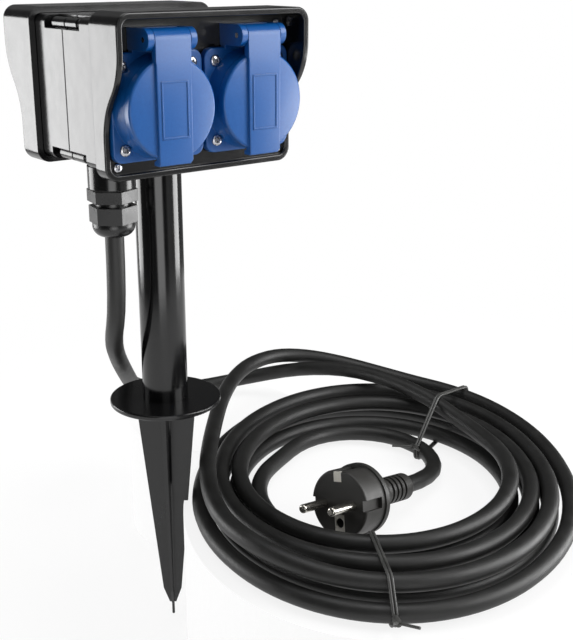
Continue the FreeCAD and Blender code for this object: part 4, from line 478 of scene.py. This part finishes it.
def turned(outline, segments=48):
    """Solid of revolution round Z from rows of radius and height in mm."""
    shape = bmesh.new()
    row = [shape.verts.new((radius * MM, 0, height * MM)) for radius, height in outline]
    edges = [shape.edges.new(pair) for pair in zip(row, row[1:])]
    bmesh.ops.spin(shape, geom=row + edges, axis=(0, 0, 1), cent=(0, 0, 0), angle=2 * math.pi,
                   steps=segments)
    bmesh.ops.remove_doubles(shape, verts=shape.verts, dist=0.001 * MM)
    bmesh.ops.recalc_face_normals(shape, faces=shape.faces)
    return shape


def cross(arm, half, top, bottom):
    """Tapered cross that cuts the recess: arms of a length and half a width, between two heights."""
    shape = bmesh.new()
    corners = []
    for quarter in range(4):
        turn = Matrix.Rotation(quarter * math.pi / 2, 3, "Z")
        corners += [turn @ Vector(corner)
                    for corner in ((arm, -half, 0), (arm, half, 0), (half, half, 0))]
    rings = [[shape.verts.new(Vector((c.x * share, c.y * share, height)) * MM) for c in corners]
             for share, height in ((1.1, top), (0.55, bottom))]
    for ring in rings:
        shape.faces.new(ring)
    for i in range(len(corners)):
        shape.faces.new((rings[0][i - 1], rings[0][i], rings[1][i], rings[1][i - 1]))
    bmesh.ops.recalc_face_normals(shape, faces=shape.faces)
    return shape


def cross_screw(head, high, shank, length):
    """Pan-head screw along Z with the seat of its head at height 0."""
    outline = [(0, high), (0.45 * head, 0.97 * high), (0.75 * head, 0.84 * high),
               (0.93 * head, 0.6 * high), (head, 0.3 * high), (head, 0), (shank, 0),
               (shank, -length + 1.2), (0.3, -length), (0, -length)]
    blank = finished("screw_blank", turned(outline))
    cutter = finished("screw_recess", cross(RECESS_ARM * head, RECESS_HALF * head, high + 0.2,
                                            high - RECESS_DEPTH))
    recess = blank.modifiers.new("recess", "BOOLEAN")
    recess.operation, recess.object = "DIFFERENCE", cutter
    mesh = bpy.data.meshes.new_from_object(blank.evaluated_get(bpy.context.evaluated_depsgraph_get()))
    bpy.data.objects.remove(blank)
    bpy.data.objects.remove(cutter)
    return mesh


for set_number, (name, sizes) in enumerate(SCREW_SETS.items()):
    low, high = (Vector(corner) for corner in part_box(name))
    rear = name.startswith("rear")
    seat = high.y - sizes["high"] * MM if rear else low.y + sizes["high"] * MM
    tilt = Matrix.Rotation(math.radians(-90 if rear else 90), 4, "X")
    one, inset = cross_screw(**sizes), sizes["head"] * MM
    shape = bmesh.new()
    for i in range(4):
        middle = Vector((low.x + inset if i % 2 else high.x - inset, seat,
                         low.z + inset if i < 2 else high.z - inset))
        driven = Matrix.Rotation(TURN_ON * i + SET_TURN * set_number, 4, "Z")
        copy = one.copy()
        copy.transform(Matrix.Translation(middle) @ tilt @ driven)
        shape.from_mesh(copy)
        bpy.data.meshes.remove(copy)
    marked_sharp(shape, SHARP_TURN)
    screws = finished("cross_" + name, shape, zinc_steel)
    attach(screws, "housing")
    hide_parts(name)

# %% [markdown]
# ## The printed dial
# The timer's number ring is pale, with a tick for each quarter of an hour and plain hour numbers, and
# two arrows on the hub show which way it turns. The ink lies a few hundredths of a millimetre above it.

# %% Dial print
hub_low, hub_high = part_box("timer_hub")
INK = 0.03 * MM
HUB_ABOVE_RING = 0.2 * MM
HUB_FACE = hub_high[1] + INK
RING_FACE = HUB_FACE - HUB_ABOVE_RING
# Radii in mm, and half the width of a tick in degrees
NUMBER_RING = (10.95, 15.7)
QUARTER_TICK, HOUR_TICK, TICK_HALF = (14.5, 15.5), (13.9, 15.5), 0.55
INNER_TICK, INNER_HOUR_TICK, INNER_TICK_HALF = (11.1, 11.9), (11.1, 12.3), 0.7
NUMBER_SIZE, NUMBER_RADIUS = 1.9, 13.1
ARROW_BAND, ARROW_WINGS, ARROW_TIP = (6.75, 7.15), (6.2, 7.7), 6.95
ARROW_SWEEP, ARROW_HEAD = 105, 13       # degrees
POINTER = [(4.6, 6.9, 0), (5.9, 7.6, 0), (5.9, 8.9, 0)]


def facing(height):
    """Turns a drawing in mm, seen from behind the box, into its place on the dial."""
    x, z = (hub_low[0] + hub_high[0]) / 2, (hub_low[2] + hub_high[2]) / 2
    return Matrix(((-MM, 0, 0, x), (0, 0, MM, height), (0, MM, 0, z), (0, 0, 0, 1)))


def on_dial(shape, height, degrees, radius):
    """A vertex on the dial, clockwise from its top."""
    angle = math.radians(degrees)
    return shape.verts.new(facing(height) @ Vector((math.sin(angle) * radius,
                                                    math.cos(angle) * radius, 0)))


def strip(shape, height, radii, start, end, steps=1):
    """Part of a ring between two angles in degrees."""
    rows = []
    for step in range(steps + 1):
        angle = start + (end - start) * step / steps
        rows.append([on_dial(shape, height, angle, radius) for radius in radii])
    for before, after in zip(rows, rows[1:]):
        shape.faces.new((before[0], before[1], after[1], after[0]))


def number(shape, text, size, place):
    letters = bpy.data.curves.new("number", "FONT")
    letters.body, letters.size = text, size
    letters.align_x, letters.align_y = "CENTER", "CENTER"
    holder = bpy.data.objects.new("number", letters)
    mesh = bpy.data.meshes.new_from_object(holder)
    mesh.transform(place)
    shape.from_mesh(mesh)
    bpy.data.objects.remove(holder)
    bpy.data.curves.remove(letters)
    bpy.data.meshes.remove(mesh)


def dial_piece(name, shape, material):
    """Finishes a flat piece that turns with the dial, its faces towards +Y."""
    for face in shape.faces:
        face.normal_update()
        if face.normal.y < 0:
            face.normal_flip()
    piece = finished(name, shape, material)
    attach(piece, "timer_dial")


shape = bmesh.new()
strip(shape, RING_FACE, NUMBER_RING, 0, 360, 96)
dial_piece("number_ring", shape, dial_abs)

INK_FACE = RING_FACE + INK
shape = bmesh.new()
for quarter in range(96):
    middle = 360 * quarter / 96
    strip(shape, INK_FACE, QUARTER_TICK if quarter % 4 else HOUR_TICK,
          middle - TICK_HALF, middle + TICK_HALF)
    if quarter % 2 == 0:
        strip(shape, INK_FACE, INNER_TICK if quarter % 4 else INNER_HOUR_TICK,
              middle - INNER_TICK_HALF, middle + INNER_TICK_HALF)
for hour in range(1, 25):
    turn = Matrix.Rotation(-2 * math.pi * hour / 24, 4, "Z")
    place = facing(INK_FACE) @ turn @ Matrix.Translation((0, NUMBER_RADIUS, 0))
    number(shape, str(hour), NUMBER_SIZE, place)
for start in (-115, 65):
    end = start + ARROW_SWEEP
    strip(shape, HUB_FACE, ARROW_BAND, start, end, 24)
    corners = [(end, ARROW_WINGS[0]), (end, ARROW_WINGS[1]), (end + ARROW_HEAD, ARROW_TIP)]
    shape.faces.new([on_dial(shape, HUB_FACE, angle, radius) for angle, radius in corners])
shape.faces.new([shape.verts.new(facing(HUB_FACE) @ Vector(corner)) for corner in POINTER])
dial_piece("dial_print", shape, dial_ink)

# %% [markdown]
# ## The stage
# The ground that the coil lies on is level with the middle of the spike, as when the spike is in the
# lawn. To keep the blade and its tip in view, the coil lies on a white plinth of its own outline, and
# the spike stands beside it over a lower white floor. A second plinth behind the spike carries the cable
# where it comes down. Seen by the camera, by gloss and through the clear cover, the stage is nearly
# white, and it still takes the object's soft shadow.


# %% Floor and plinth
TABLE_MID = (0.08, 0.0, 0.0)
TABLE_RADIUS = 0.70
FLOOR_HEIGHT = -77.0    # mm, just under the tip
PLINTH_MARGIN = {"far": 9.0, "right": 9.0, "near": 9.0, "left": 5.6}
PLINTH_TOP, BEHIND_TOP = -0.2, -0.3     # mm, just under the cable
PLINTH_LIFT = 0.1       # mm between the floor and a plinth's foot
BEHIND_MID, BEHIND_REACH = (125.0, 20.0), 60.0
FADE = (0.25, 0.60)     # from here to there the shadow fades out
SHADOW = 0.16           # share of the real light in what is seen of the table


def stage_white():
    """Matt white whose seen brightness is mostly its own, more so away from the object."""
    material, tree, output, place = new_material("white_stage")
    seen = add(tree, "ShaderNodeLightPath")
    shown = add(tree, "ShaderNodeMath", {0: seen.outputs["Is Camera Ray"],
                                         1: seen.outputs["Is Glossy Ray"]}, operation="MAXIMUM")
    shown = add(tree, "ShaderNodeMath", {0: shown.outputs[0], 1: seen.outputs["Is Transmission Ray"]},
                operation="MAXIMUM")
    away = add(tree, "ShaderNodeVectorMath", {0: place, 1: TABLE_MID}, operation="DISTANCE")
    own = add(tree, "ShaderNodeMapRange", {"Value": away.outputs["Value"], "From Min": FADE[0],
                                           "From Max": FADE[1], "To Min": 1 - SHADOW, "To Max": 1.0})
    part = add(tree, "ShaderNodeMath", {0: shown.outputs[0], 1: own.outputs["Result"]},
               operation="MULTIPLY")
    matt = add(tree, "ShaderNodeBsdfDiffuse", {"Color": linear("f2f2f2")})
    glow = add(tree, "ShaderNodeEmission", {"Color": (1, 1, 1, 1), "Strength": 1.0})
    mixed = add(tree, "ShaderNodeMixShader", {"Fac": part.outputs[0], 1: matt.outputs["BSDF"],
                                              2: glow.outputs["Emission"]})
    tree.links.new(mixed.outputs["Shader"], output.inputs["Surface"])
    return material


stage_finish = stage_white()


def plinth(name, middle, reach, top):
    """An oval block that stands on the floor; its four reaches may differ."""
    shape = bmesh.new()
    bmesh.ops.create_circle(shape, cap_ends=True, segments=96, radius=1.0)
    for corner in shape.verts:
        along, side = corner.co.x, corner.co.y
        corner.co = placed(middle[0] + along * reach["far" if along > 0 else "near"],
                           middle[1] + side * reach["right" if side > 0 else "left"], top)
    sides = bmesh.ops.extrude_face_region(shape, geom=list(shape.faces))
    lowered = [item for item in sides["geom"] if isinstance(item, bmesh.types.BMVert)]
    bmesh.ops.translate(shape, verts=lowered, vec=(0, 0, (FLOOR_HEIGHT + PLINTH_LIFT - top) * MM))
    bmesh.ops.recalc_face_normals(shape, faces=list(shape.faces))
    finished(name, shape, stage_finish)


shape = bmesh.new()
bmesh.ops.create_circle(shape, cap_ends=True, segments=96, radius=TABLE_RADIUS,
                        matrix=Matrix.Translation((TABLE_MID[0], TABLE_MID[1], FLOOR_HEIGHT * MM)))
finished("floor", shape, stage_finish)
plinth("plinth", COIL_MID, {way: REACH[way][1] + PLINTH_MARGIN[way] for way in REACH}, PLINTH_TOP)
plinth("plinth_behind", BEHIND_MID, {way: BEHIND_REACH for way in REACH}, BEHIND_TOP)

# %% [markdown]
# ## Light
# Glossy black shows its surroundings and little else. A soft box behind the left side makes the box's
# side pale, a low one on the right draws the sheen on the lids, a large one in front on the right models
# their shape, and one overhead fills. The world is white where the camera sees it. Gloss sees a room
# instead: dark, with one bright opening that draws the stripe down the column, and darker still above.

# %% World
# Rows of a direction, in degrees from -Y towards -X, and how bright the room is there
ROOM = [(-180, 0.30), (-158, 0.15), (-137, 0.05), (-61, 0.08), (-36, 0.12), (-13, 0.16), (-5, 0.02),
        (9, 0.02), (15, 1.0), (43, 1.0), (49, 0.02), (130, 0.02), (138, 0.08), (172, 0.10), (180, 0.30)]
ROOM_LIGHT = 3.0
ROOM_ABOVE = 0.25       # share of it above the horizon
HORIZON = (0.0, 0.12)   # height of a direction between full light and that share
DIFFUSE_LIGHT = 0.50
world = bpy.data.worlds.new("studio")
bpy.context.scene.world = world
world.use_nodes = True
sky = world.node_tree
sky.nodes.clear()
sky_out = add(sky, "ShaderNodeOutputWorld")
sky_ray = add(sky, "ShaderNodeLightPath")
sky_way = add(sky, "ShaderNodeTexCoord")
sky_split = add(sky, "ShaderNodeSeparateXYZ", {"Vector": sky_way.outputs["Generated"]})
backwards = [add(sky, "ShaderNodeMath", {0: sky_split.outputs[axis], 1: -1.0}, operation="MULTIPLY")
             for axis in ("X", "Y")]
round_angle = add(sky, "ShaderNodeMath", {0: backwards[0].outputs[0], 1: backwards[1].outputs[0]},
                  operation="ARCTAN2")
round_share = add(sky, "ShaderNodeMath", {0: round_angle.outputs[0], 1: 0.5 / math.pi, 2: 0.5},
                  operation="MULTIPLY_ADD")
room = add(sky, "ShaderNodeValToRGB", {"Fac": round_share.outputs[0]},
           stops=[(angle / 360 + 0.5, grey(light)) for angle, light in ROOM])
clear_ray = add(sky, "ShaderNodeMath", {0: sky_ray.outputs["Is Camera Ray"],
                                        1: sky_ray.outputs["Is Transmission Ray"]}, operation="MAXIMUM")
above = add(sky, "ShaderNodeMapRange", {"Value": sky_split.outputs["Z"], "From Min": HORIZON[0],
                                        "From Max": HORIZON[1], "To Min": ROOM_LIGHT,
                                        "To Max": ROOM_LIGHT * ROOM_ABOVE})
reflected = add(sky, "ShaderNodeMath", {0: room.outputs["Color"], 1: above.outputs["Result"]},
                operation="MULTIPLY")
level = add(sky, "ShaderNodeMix", {0: sky_ray.outputs["Is Glossy Ray"], 2: DIFFUSE_LIGHT,
                                   3: reflected.outputs[0]}, data_type="FLOAT")
level = add(sky, "ShaderNodeMix", {0: clear_ray.outputs[0], 2: level.outputs[0], 3: 1.0},
            data_type="FLOAT")
sky_light = add(sky, "ShaderNodeBackground", {"Color": (1, 1, 1, 1), "Strength": level.outputs[0]})
sky.links.new(sky_light.outputs["Background"], sky_out.inputs["Surface"])


# %% Soft boxes
def soft_box(name, place, target, width, height, watts):
    """Area light at a place, turned to its target; sizes in metres."""
    lamp = bpy.data.lights.new(name, "AREA")
    lamp.shape = "RECTANGLE"
    lamp.size, lamp.size_y, lamp.energy = width, height, watts
    light = bpy.data.objects.new(name, lamp)
    light.location = place
    light.rotation_euler = (Vector(target) - Vector(place)).to_track_quat("-Z", "Y").to_euler()
    bpy.context.scene.collection.objects.link(light)


soft_box("left_soft_box", (-0.72, 0.914, 0.11), (-0.05, 0, 0.2), 0.7, 0.6, 8)
soft_box("low_soft_box", (0.83, -0.47, 0.0), (0, -0.05, 0.2), 0.5, 0.5, 7.0)
soft_box("right_soft_box", (0.75, -0.95, 0.75), (0, 0, 0.15), 0.9, 0.9, 16)
soft_box("top_soft_box", (0.0, 0.0, 1.5), (0.05, -0.05, 0.1), 1.0, 1.0, 9)
